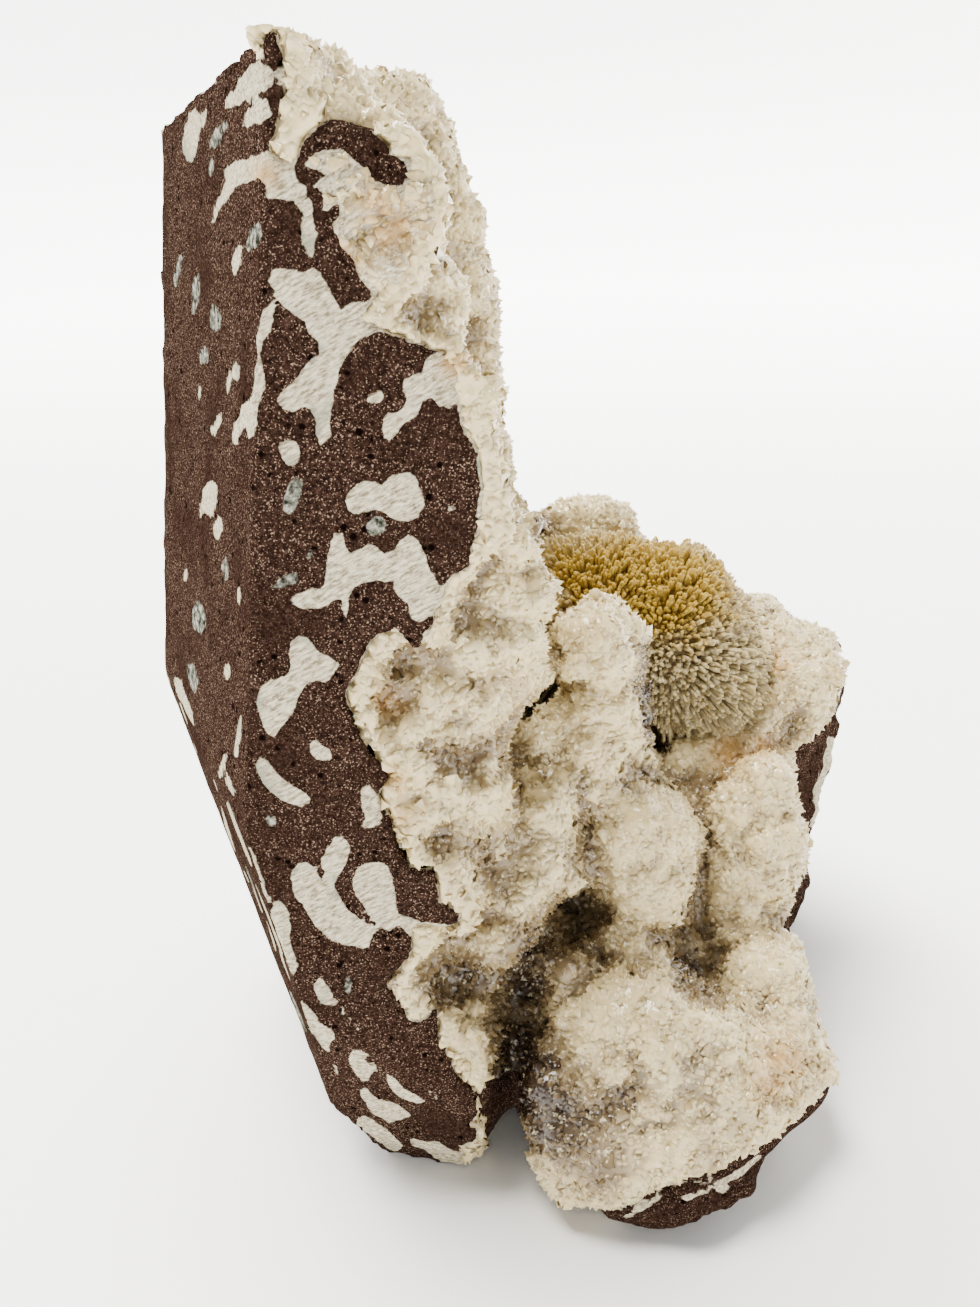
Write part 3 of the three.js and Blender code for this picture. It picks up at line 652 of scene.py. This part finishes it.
# Where the photo shows broken rock instead of crust: under the front lobe, at the foot of the wall, and
# on the far right side. Its outlines are in the photo's pixels.
BARE = [
    [(560, 1212), (580, 1207), (600, 1209), (622, 1211), (640, 1200), (660, 1190), (680, 1180), (700, 1175),
     (720, 1171), (735, 1160), (750, 1154), (775, 1138), (790, 1124), (815, 1102), (830, 1080), (860, 1090),
     (800, 1180), (720, 1230), (640, 1260), (560, 1240)],
    [(477, 1094), (484, 1085), (494, 1072), (520, 1072), (520, 1200), (470, 1200), (440, 1180), (470, 1162),
     (486, 1148)],
    [(796, 750), (812, 738), (828, 722), (846, 668), (880, 655), (880, 760), (850, 880), (800, 940),
     (783, 928), (792, 900), (806, 862), (809, 840), (800, 812), (794, 780)],
]


def joined_mesh(name, points, faces):
    """One mesh of many copies: points is copies x corners x 3, faces the triangles of one copy."""
    copies, corners = points.shape[:2]
    triangles = faces[None] + (np.arange(copies) * corners)[:, None, None]
    mesh = bpy.data.meshes.new(name)
    mesh.vertices.add(copies * corners)
    mesh.vertices.foreach_set("co", points.astype(np.float32).ravel())
    mesh.loops.add(triangles.size)
    mesh.loops.foreach_set("vertex_index", triangles.astype(np.int32).ravel())
    mesh.polygons.add(copies * len(faces))
    mesh.polygons.foreach_set("loop_start", np.arange(0, triangles.size, 3, dtype=np.int32))
    mesh.update(calc_edges=True)
    return add_object(name, mesh)


def area_samples(mesh, count):
    """Points spread over a triangle mesh by area, each with its face's normal."""
    mesh.calc_loop_triangles()
    corners = np.empty(len(mesh.loop_triangles) * 3, np.int32)
    mesh.loop_triangles.foreach_get("vertices", corners)
    a, b, c = np.moveaxis(points_of(mesh)[corners.reshape(-1, 3)], 1, 0)
    across = np.cross(b - a, c - a)
    area = np.linalg.norm(across, axis=1)
    pick = rng.choice(len(a), count, p=area / area.sum())
    u, v = rng.random((2, count, 1))
    u, v = np.where(u + v > 1, 1 - u, u), np.where(u + v > 1, 1 - v, v)
    return a[pick] + u * (b[pick] - a[pick]) + v * (c[pick] - a[pick]), across[pick] / area[pick, None]


def in_rock(point, margin=0.0):
    """Whether a point lies in the rock and further than the margin from its surface."""
    start, upwards, crossings = Vector(point), Vector((0.12, 0.07, 1)), 0
    if basalt_tree.find_nearest(start)[3] <= margin:
        return False
    while (hit := basalt_tree.ray_cast(start, upwards)[0]) is not None:
        start, crossings = hit + upwards * 1e-5, crossings + 1
    return crossings % 2 == 1


def view_ray(x, y):
    """The direction from the camera through a pixel of the photo."""
    across, up = (x - PHOTO_W / 2) / FOCAL, (PHOTO_H / 2 - y) / FOCAL
    ray = Vector((across, math.cos(PITCH) + up * math.sin(PITCH), up * math.cos(PITCH) - math.sin(PITCH)))
    return ray.normalized()


def cleft_depth(points):
    """How deep the clefts press into each place, as the photo shows them."""
    places, _ = photo_place(points)
    deepest = np.zeros(len(points))
    for width, depth, line in CLEFTS:
        corners = np.array(line, float)
        gap = np.linalg.norm(places - corners[0], axis=1)
        for a, b in zip(corners[:-1], corners[1:]):
            along = np.clip(((places - a) @ (b - a)) / ((b - a) @ (b - a)), 0, 1)
            gap = np.minimum(gap, np.linalg.norm(places - a - along[:, None] * (b - a), axis=1))
        deepest = np.maximum(deepest, np.clip(1 - (gap / (width * 1.5)) ** 2, 0, 1) * depth * MM)
    return np.where(points[:, 0] > -25 * MM, deepest, 0)


def carve(points, extra=0.0):
    """Presses the clefts into what the camera sees first: fully for 10 mm behind it, not at all past 16."""
    away = points - np.array(CAMERA_AT)
    distance = np.linalg.norm(away, axis=1)
    away /= distance[:, None]
    depth = cleft_depth(points)
    for i in np.flatnonzero(depth):
        first = crust_tree.ray_cast(CAMERA_AT, Vector(away[i]))[3]
        behind = distance[i] - first if first else 0
        depth[i] = (depth[i] + extra) * max(0, min(1, (16 * MM - behind) / (6 * MM)))
    return points + away * depth[:, None]


ball = bmesh.new()
bmesh.ops.create_icosphere(ball, subdivisions=2, radius=1)
ball_points = np.array([v.co[:] for v in ball.verts])
ball_faces = np.array([[v.index for v in face.verts] for face in ball.faces])
ball.free()


def with_balls(shape, middles, radii, name, voxel):
    """A closed shape joined with balls into one even skin."""
    balls = joined_mesh("balls", middles[:, None] + ball_points[None] * radii[:, None, None], ball_faces)
    shape.from_mesh(balls.data)
    bpy.data.objects.remove(balls)
    return remeshed(object_of(shape, "rough"), name, voxel, smoothing=1)


# The solid's skin moves first: out where it meets the rock or the ball, so that no gap shows, and in
# elsewhere, most between the columns, to leave room for the lumps that stand on it.
crust_shape = merged("chalcedony_quartz_crust")
crust_tree = BVHTree.FromBMesh(crust_shape)
ball_tree = BVHTree.FromBMesh(merged("scolecite_spray"))
crust_places, _ = photo_place(np.array([v.co[:] for v in crust_shape.verts]))
moves = []
for vertex, between_columns in zip(crust_shape.verts, depth_in_outlines(crust_places, [COLUMNS]) > 0):
    if basalt_tree.find_nearest(vertex.co)[3] < 1.2 * MM:
        moves.append(1.1 * MM)
    elif ball_tree.find_nearest(vertex.co)[3] < 2.5 * MM:
        moves.append(1.3 * MM)
    else:
        thickness = crust_tree.ray_cast(vertex.co - vertex.normal * 0.05 * MM, -vertex.normal)[3] or 0
        wanted = (2.4 if between_columns and vertex.co.x > -20 * MM else 0.7) * MM
        moves.append(-min(wanted, 0.4 * thickness))
for vertex, move in zip(crust_shape.verts, moves):
    vertex.co += vertex.normal * move
middles, radii = [], []
for x, y, pixels, proud in MASSES:
    ray = view_ray(x, y)
    at, facing, _, distance = crust_tree.ray_cast(CAMERA_AT, ray)
    if at is None:
        continue
    radius = pixels * distance / FOCAL
    middles.append(at + ray * radius * (1 - proud))
    radii.append(radius)
for x, y, z, radius in LUMPS:
    middles.append(Vector((x, y, z)) * MM)
    radii.append(radius * MM)
MASS_VOXEL = 1.6 * MM
masses = with_balls(crust_shape, np.array(middles), np.array(radii), "masses", MASS_VOXEL)
set_points(masses.data, carve(points_of(masses.data)))

# The rock sinks back a little under the crust, and along its clefts, so that it never shows through.
rock_now, rock_out = points_of(basalt.data), normals_of(basalt.data)
UNDER_CRUST = 1.5 * MM
covered = np.array([
    crust_tree.ray_cast(Vector(p), Vector(n), UNDER_CRUST)[0] is not None for p, n in zip(rock_now, rock_out)
], float)
sunk = np.clip(spread(basalt.data, covered, 14) * 2.2 - 1.5, 0, 1) * 3.2 * MM
rock_now = carve(rock_now - rock_out * sunk[:, None], extra=1.0 * MM)
set_points(basalt.data, np.clip(rock_now, rock_low, box_high))

# Small lumps, about 2 mm in radius, stand all over the masses.
SMALL_LUMPS, CRUST_VOXEL = 5200, 1.15 * MM
where, outwards = area_samples(masses.data, SMALL_LUMPS)
open_side = np.array([not in_rock(p + n * 1.5 * MM) for p, n in zip(where, outwards)])
where, outwards = where[open_side], outwards[open_side]
radii = rng.lognormal(math.log(2.1), 0.28, len(where)) * MM
middles = where - outwards * (radii * rng.uniform(0.4, 0.75, len(where)))[:, None]
skin = bmesh.new()
skin.from_mesh(masses.data)
crust = with_balls(skin, middles, radii, "crust", CRUST_VOXEL)
bpy.data.objects.remove(masses)


def rounded_in(points, knee=1.8 * MM):
    """Bends whatever nears the solids' box back inside it."""
    below_top = knee * (1 - np.tanh((points - box_high) / knee + 1))
    points = np.where(points > box_high - knee, box_high - below_top, points)
    above_foot = knee * (1 - np.tanh((box_low - points) / knee + 1))
    return np.where(points < box_low + knee, box_low + above_foot, points)


# The worn front face of the wall: where it would meet the ground, the slope that it leans back by, and the
# x of its right edge. What comes further forward than STRAYED has spread over it.
FRONT_AT, FRONT_SLOPE, WALL_ENDS, STRAYED = -54.8 * MM, 0.06, -6 * MM, -53.4 * MM


def cut_flat(points, proud=0.0):
    """Keeps points behind the wall's front face, and within the solids' box."""
    front = FRONT_AT - proud + FRONT_SLOPE * points[:, 2]
    points[:, 1] = np.where(points[:, 0] < WALL_ENDS, np.maximum(points[:, 1], front), points[:, 1])
    return rounded_in(points)


# Broad swells and a fine grain roughen the crust.
crust_points, crust_normals = points_of(crust.data), normals_of(crust.data)
broad = spread_vectors(crust.data, crust_normals, 8)
swells = 1.2 * rumble(crust_points, 11 * MM, 8, octaves=1)
swells += 0.6 * rumble(crust_points, 4.5 * MM, 10, octaves=1)
set_points(crust.data, cut_flat(crust_points + broad * (swells * MM)[:, None]))
crust_points, crust_normals = points_of(crust.data), normals_of(crust.data)
grainy = rumble(crust_points, 1.8 * MM, 7, octaves=2)
crust_points = cut_flat(crust_points + crust_normals * (0.45 * MM * grainy)[:, None], proud=0.4 * MM)
# Where a lump has spread over the worn front face, it goes back under it.
at_the_front = crust_points[:, 1] < STRAYED + FRONT_SLOPE * crust_points[:, 2]
for i in np.flatnonzero(at_the_front & (crust_points[:, 0] < WALL_ENDS)):
    if in_rock(crust_points[i] + (0, 3 * MM, 0)):
        crust_points[i, 1] += 2 * MM
set_points(crust.data, crust_points)


def bare_depth(points):
    """How many millimetres inside the bare outlines each point lies; the wall's left is never bare."""
    places, scale = photo_place(points)
    return np.where(points[:, 0] > -22 * MM, depth_in_outlines(places, BARE) / scale, -3)


crust_points = points_of(crust.data)
bare = np.clip(bare_depth(crust_points) + 0.5, 0, 1)[:, None]
calm = spread_vectors(crust.data, crust_points, 25)
set_points(crust.data, crust_points * (1 - bare) + calm * bare)

# What lies deep in the rock goes, and the bare parts become a piece of their own, made of rock.
BURIED = 3.5 * MM
shape = bmesh.new()
shape.from_mesh(crust.data)
buried = [face for face in shape.faces if in_rock(face.calc_center_median(), BURIED)]
bmesh.ops.delete(shape, geom=buried, context="FACES")
rim_shape = shape.copy()
face_bare = bare_depth(np.array([face.calc_center_median()[:] for face in shape.faces])) > 0
for half, drop in ((shape, face_bare), (rim_shape, ~face_bare)):
    half.faces.ensure_lookup_table()
    bmesh.ops.delete(half, geom=[half.faces[i] for i in np.flatnonzero(drop)], context="FACES")
shape.to_mesh(crust.data)
shape.free()
rim = object_of(rim_shape, "basalt_rims")
rim_points = points_of(rim.data)
rim_places, rim_scale = photo_place(rim_points)
add_attribute(rim.data, "white_spot", np.clip(depth_in_outlines(rim_places, WHITE_SPOTS) / rim_scale, -3, 3))
add_attribute(rim.data, "grey_spot", np.full(len(rim_points), -3.0))
add_attribute(rim.data, "broken", np.ones(len(rim_points)))
dress(rim, basalt.data.materials[0])
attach(rim, "root")


def hollowness(mesh, rounds):
    """How far each point lies below the average of its surroundings, in millimetres."""
    points = points_of(mesh)
    return ((spread_vectors(mesh, points, rounds) - points) * normals_of(mesh)).sum(1) / MM


# Painted shading of the crust, from how hollow each place is: -3 on crests, which get a painted highlight, to
# 1.9 in clefts, which get painted shade, and more where the shade is painted darker still.
HOLLOW = 1.9
clefts = np.minimum(cleft_depth(points_of(crust.data)) / MM * 0.45, HOLLOW)
below = hollowness(crust.data, 5) * 2 + hollowness(crust.data, 40) * 0.9
painted_shading_values = np.clip(below + clefts, -3, HOLLOW)

# The rock is white right beside the crust, as its thin edge is.
WHITE_EDGE = 0.6
crust_skin = BVHTree.FromPolygons(
    [Vector(p) for p in points_of(crust.data)], [tuple(p.vertices) for p in crust.data.polygons]
)
nearest = [crust_skin.find_nearest(Vector(p)) for p in points_of(basalt.data)]
rock_gap = np.array([hit[3] if hit[3] > MM or not in_rock(hit[0], 0.6 * MM) else 5 * MM for hit in nearest])
white_now = np.maximum(white, WHITE_EDGE - rock_gap / MM)
basalt.data.attributes["white_spot"].data.foreach_set("value", np.clip(white_now, -3, 3).astype(np.float32))

# Painted shade where the crust lies in shade: circles in the photo's pixels, and how deep a shade each
# paints.
SHADES = [
    (590, 1120, 46, 2.6), (604, 1168, 30, 2.2), (566, 1140, 30, 2.8), (626, 1096, 16, 2.8),
    (562, 1104, 22, 3.3), (552, 1060, 14, 3.0), (550, 1030, 12, 2.6), (540, 1090, 16, 4.0),
    (534, 1060, 14, 4.0), (542, 1130, 18, 3.6), (519, 1046, 22, 4.5), (515, 1085, 24, 4.5),
    (505, 1110, 20, 4.5), (650, 690, 15, 4.5), (654, 722, 13, 4.5), (664, 742, 12, 3.6), (650, 660, 10, 3.6),
    (560, 956, 34, 2.3), (600, 956, 22, 2.2), (530, 950, 24, 3.2), (524, 985, 20, 4.0), (440, 985, 26, 3.0),
    (472, 974, 22, 3.0), (690, 966, 16, 3.6), (706, 988, 12, 2.8), (450, 746, 13, 2.6), (480, 746, 13, 2.6),
    (546, 524, 15, 3.0), (572, 928, 24, 2.6), (800, 712, 9, 2.4),
]
# Rust stains on the crust, as circles in the photo's pixels.
RUSTS = [
    (782, 1058, 24), (770, 1085, 18), (776, 665, 16), (765, 690, 14), (730, 752, 20), (760, 745, 14),
    (392, 222, 26), (350, 262, 14), (370, 200, 14), (388, 700, 14), (396, 780, 14), (404, 820, 12),
    (392, 905, 14), (460, 362, 12), (848, 670, 12),
]


def near_places(points, circles):
    """1 at the middle of a circle on the photo and 0 well away from all, and on the back of the specimen."""
    places, _ = photo_place(points)
    nearness = [np.exp(-((places - (x, y)) ** 2).sum(1) / radius**2) for x, y, radius in circles]
    return np.max(nearness, axis=0) * (points[:, 1] < 60 * MM)


add_attribute(crust.data, "rust", near_places(points_of(crust.data), RUSTS))
for x, y, radius, shade in SHADES:
    near = near_places(points_of(crust.data), [(x, y, radius)])
    painted_shading_values = painted_shading_values * (1 - near) + shade * near
add_attribute(crust.data, "painted_shading", painted_shading_values)


def crust_material(name):
    material, place, finish = new_material(
        name, Subsurface_Weight=0.25, Subsurface_Scale=0.0012, Subsurface_Radius=(1.0, 0.8, 0.5),
        Roughness=0.15,
    )
    clouds = place.noise(40, detail=3, roughness=0.6)
    sugar = place.noise(700, detail=2, roughness=0.7)
    painted_shading = place.attribute("painted_shading") + (sugar - 0.5) * 0.9
    cream = clouds.colours((0.34, (0.26, 0.195, 0.1)), (0.5, (0.48, 0.375, 0.19)), (0.66, (0.67, 0.53, 0.28)))
    # Painted shade: the cream darkens to brown, then near-black, where the painted shading is high; painted
    # highlight: paler cream on crests.
    colour = cream.mix((0.17, 0.115, 0.055, 1), painted_shading.between(-0.2, 1.9) * 0.88)
    colour = colour.mix((0.035, 0.02, 0.011, 1), painted_shading.between(1.8, 3.4))
    colour = colour.mix((0.74, 0.6, 0.325, 1), painted_shading.between(-0.1, -1.3) * 0.7)
    colour = colour.mix((0.88, 0.76, 0.49, 1), sugar.between(0.58, 0.7) * 0.6)
    colour = colour.mix((0.42, 0.22, 0.05, 1), place.attribute("rust") * clouds.between(0.2, 0.5) * 0.8)
    finish(Base_Color=colour, Normal=sugar.bump(0.0003, 0.5))
    return material


dress(crust, crust_material("chalcedony"))
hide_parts("chalcedony_quartz_crust")
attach(crust, "root")


# Quartz points: thousands of small six-sided pyramids that stand close together all over the crust and
# make it glitter. Each leans its own way.


def across_two_ways(directions):
    """Two directions square to each given one and to each other."""
    helper = np.where(np.abs(directions[:, :1]) < 0.8, [[1.0, 0, 0]], [[0, 1.0, 0]])
    first = unit(np.cross(directions, helper))
    return first, np.cross(directions, first)


ON_CRUST, ON_ROCK = 74000, 60000
six_sides = np.array([(i, (i + 1) % 6, 6) for i in range(6)])
where, outwards = area_samples(crust.data, ON_CRUST)
seen = np.array([not in_rock(p + n * 0.8 * MM) for p, n in zip(where, outwards)])
where, outwards = where[seen], outwards[seen]
under = np.array([crust.data.polygons[crust_skin.find_nearest(Vector(p))[2]].vertices[0] for p in where])
# Each point takes the painted shading of the crust under it.
painted_shading_here = painted_shading_values[under]
quartz = crust_material("quartz")
# The filled bubble at the top of the wall is a small druse too.
on_rock, rock_facing = area_samples(basalt.data, ON_ROCK)
places, scale = photo_place(on_rock)
on_cap = depth_in_outlines(places, [CAP_MASS]) / scale > 0.4
on_cap &= (rock_facing[:, 1] < -0.3) & (on_rock[:, 1] < -38 * MM)
where = np.concatenate([where, on_rock[on_cap]])
outwards = np.concatenate([outwards, rock_facing[on_cap]])
painted_shading_here = np.concatenate([painted_shading_here, rng.uniform(-1, 1, on_cap.sum())])
front = where[:, 1] < np.median(where[:, 1])
for part, chosen in (("front", front), ("back", ~front)):
    at, out, painted_shading = where[chosen], outwards[chosen], painted_shading_here[chosen]
    count = len(at)
    lean = unit(out + rng.normal(0, 0.42, (count, 3)))
    right, ahead = across_two_ways(lean)
    width = np.clip(rng.lognormal(math.log(0.86), 0.3, count), 0.45, 1.5) * MM
    height = width * rng.uniform(0.9, 1.6, count)
    turn = rng.uniform(0, 2 * math.pi, count)[:, None] + np.arange(6) * math.pi / 3
    reach = width[:, None] * rng.uniform(0.75, 1.1, (count, 6))
    foot = at - lean * (0.45 * height)[:, None]
    ring = foot[:, None] + right[:, None] * (np.cos(turn) * reach)[..., None]
    ring += ahead[:, None] * (np.sin(turn) * reach)[..., None]
    tip = foot + lean * (height * 1.2)[:, None]
    points = cut_flat(np.concatenate([ring, tip[:, None]], 1).reshape(-1, 3), proud=2.5 * MM)
    druse = joined_mesh("quartz_druse_" + part, points.reshape(count, 7, 3), six_sides)
    # Each point is darker round its foot, a painted shade, and paler at its tip, a painted highlight.
    add_attribute(druse.data, "painted_shading", np.repeat(painted_shading, 7) + np.tile([0.7] * 6 + [-0.9], count))
    add_attribute(druse.data, "rust", near_places(points, RUSTS))
    druse.data.materials.append(quartz)
    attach(druse, "root")


# Scolecite: two sprays of thin needles that grew into one ball. The needles stand side by side, blunt
# tips outwards, honey-coloured on top and cream below, and painted shade darkens each from its pale tip
# inwards.

# The middle and the reach of each spray, and the round hollow under the ball.
SPRAYS = ((Vector((12, 31, 83)) * MM, 25.5 * MM), (Vector((27, 30, 81)) * MM, 25.5 * MM))
HOLLOW_AT, HOLLOW_RADIUS = np.array((8, 16, 65)) * MM, 19 * MM
NEEDLES = 10000


def even_directions(count):
    """Directions spread evenly over a sphere along a spiral."""
    z = 1 - (2 * np.arange(count) + 1) / count
    turn = np.arange(count) * math.pi * (3 - math.sqrt(5))
    return np.stack([np.sqrt(1 - z * z) * np.cos(turn), np.sqrt(1 - z * z) * np.sin(turn), z], 1)


needle_sets = []
for (centre, reach), (other, other_reach) in zip(SPRAYS, SPRAYS[::-1]):
    direction = unit(even_directions(NEEDLES) + rng.normal(0, 0.03, (NEEDLES, 3)))
    bundles = rumble(direction, 0.07, 11, octaves=2)
    length = reach * (np.clip(0.93 + 0.13 * bundles, 0.86, 0.99) + rng.uniform(-0.035, 0.015, len(direction)))
    # The photo shows longer needles at the lower right, down to the crust, and shorter ones above them.
    places, _ = photo_place(np.array(centre) + direction * length[:, None])
    to_the_crust = np.clip((places - (685, 640)) / 45, 0, 1).prod(1)
    on_the_right = np.clip((places[:, 0] - 705) / 40, 0, 1) * (places[:, 1] < 650)
    length += reach * (0.12 * to_the_crust - 0.08 * on_the_right)
    tips = np.array(centre) + direction * length[:, None]
    free = np.linalg.norm(tips - np.array(other), axis=1) > other_reach * 0.86
    free &= np.linalg.norm(tips - HOLLOW_AT, axis=1) > HOLLOW_RADIUS
    needle_sets.append((np.repeat([np.array(centre)], free.sum(), 0), direction[free], length[free]))
root, direction, length = (np.concatenate(part) for part in zip(*needle_sets))
right, ahead = across_two_ways(direction)
count = len(root)
thick = rng.uniform(0.4, 0.66, count) * MM
turn = rng.uniform(0, 2 * math.pi, count)[:, None] + np.arange(4) * math.pi / 2


def needle_ring(along, swell):
    """Four corners round each needle at the given length along it."""
    around = right[:, None] * np.cos(turn)[..., None] + ahead[:, None] * np.sin(turn)[..., None]
    return (root + direction * along[:, None])[:, None] + around * (thick * swell)[:, None, None]


needle_points = np.concatenate([
    needle_ring(length * 0.55, 0.55),
    needle_ring(length - 0.45 * MM, 0.9),
    (root + direction * length[:, None])[:, None],
], 1)
sides = [(i, (i + 1) % 4, 4 + (i + 1) % 4) for i in range(4)]
sides += [(i, 4 + (i + 1) % 4, 4 + i) for i in range(4)]
caps = [(4 + i, 4 + (i + 1) % 4, 8) for i in range(4)]
needles = joined_mesh("scolecite_needles", needle_points, np.array(sides + caps))
along = np.tile([0.0] * 4 + [0.85] * 4 + [1.0], count)
add_attribute(needles.data, "along", along)


def honey(points):
    """How yellow the needles are: most in the upper middle, as the photo shows."""
    places, _ = photo_place(points)
    wide = np.exp(-((places - (655, 585)) ** 2 / (75**2, 52**2)).sum(1))
    left = np.exp(-((places - (575, 575)) ** 2 / (50**2, 40**2)).sum(1)) * 0.4
    return np.clip(wide + left + 0.25 * rumble(points, 5 * MM, 12), 0, 1)


add_attribute(needles.data, "honey", honey(points_of(needles.data)))


def scolecite_material():
    material, place, finish = new_material(
        "scolecite", Subsurface_Weight=0.35, Subsurface_Scale=0.002, Subsurface_Radius=(0.9, 0.85, 0.5),
    )
    along, yellow = place.attribute("along"), place.attribute("honey")
    fine = place.noise(500, detail=2)
    cream = fine.colours((0.35, (0.28, 0.215, 0.1)), (0.7, (0.48, 0.39, 0.21)))
    amber = fine.colours((0.35, (0.27, 0.16, 0.007)), (0.7, (0.4, 0.26, 0.022)))
    body = cream.mix(amber, yellow.between(0.05, 0.6))
    # Painted shade between the needles: each darkens from near its tip down towards the middle of the ball.
    colour = body.mix((0.11, 0.07, 0.025, 1), along.between(0.95, 0.35) * 0.66)
    finish(Base_Color=colour, Roughness=0.4 + along.between(1.0, 0.6) * 0.5)
    return material


needles.data.materials.append(scolecite_material())
# The core that the needles grow from keeps light from passing between them.
core_shape = bmesh.new()
for centre, reach in SPRAYS:
    made = bmesh.ops.create_icosphere(core_shape, subdivisions=4, radius=reach * 0.83)
    bmesh.ops.translate(core_shape, verts=made["verts"], vec=centre)
core = remeshed(object_of(core_shape, "core"), "scolecite_core", 1.2 * MM)
core_points = points_of(core.data)
from_hollow = core_points - HOLLOW_AT
gap = np.linalg.norm(from_hollow, axis=1, keepdims=True)
core_points = np.where(gap < HOLLOW_RADIUS, HOLLOW_AT + from_hollow / gap * HOLLOW_RADIUS, core_points)
set_points(core.data, core_points)
# The core takes the needles' colour half way along them, with much of their painted shade.
add_attribute(core.data, "along", np.full(len(core_points), 0.5))
add_attribute(core.data, "honey", honey(core_points))
core.data.materials.clear()
core.data.materials.append(needles.data.materials[0])
for piece in (core, needles):
    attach(piece, "root")
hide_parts("scolecite_spray")
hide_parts("scolecite_spray")
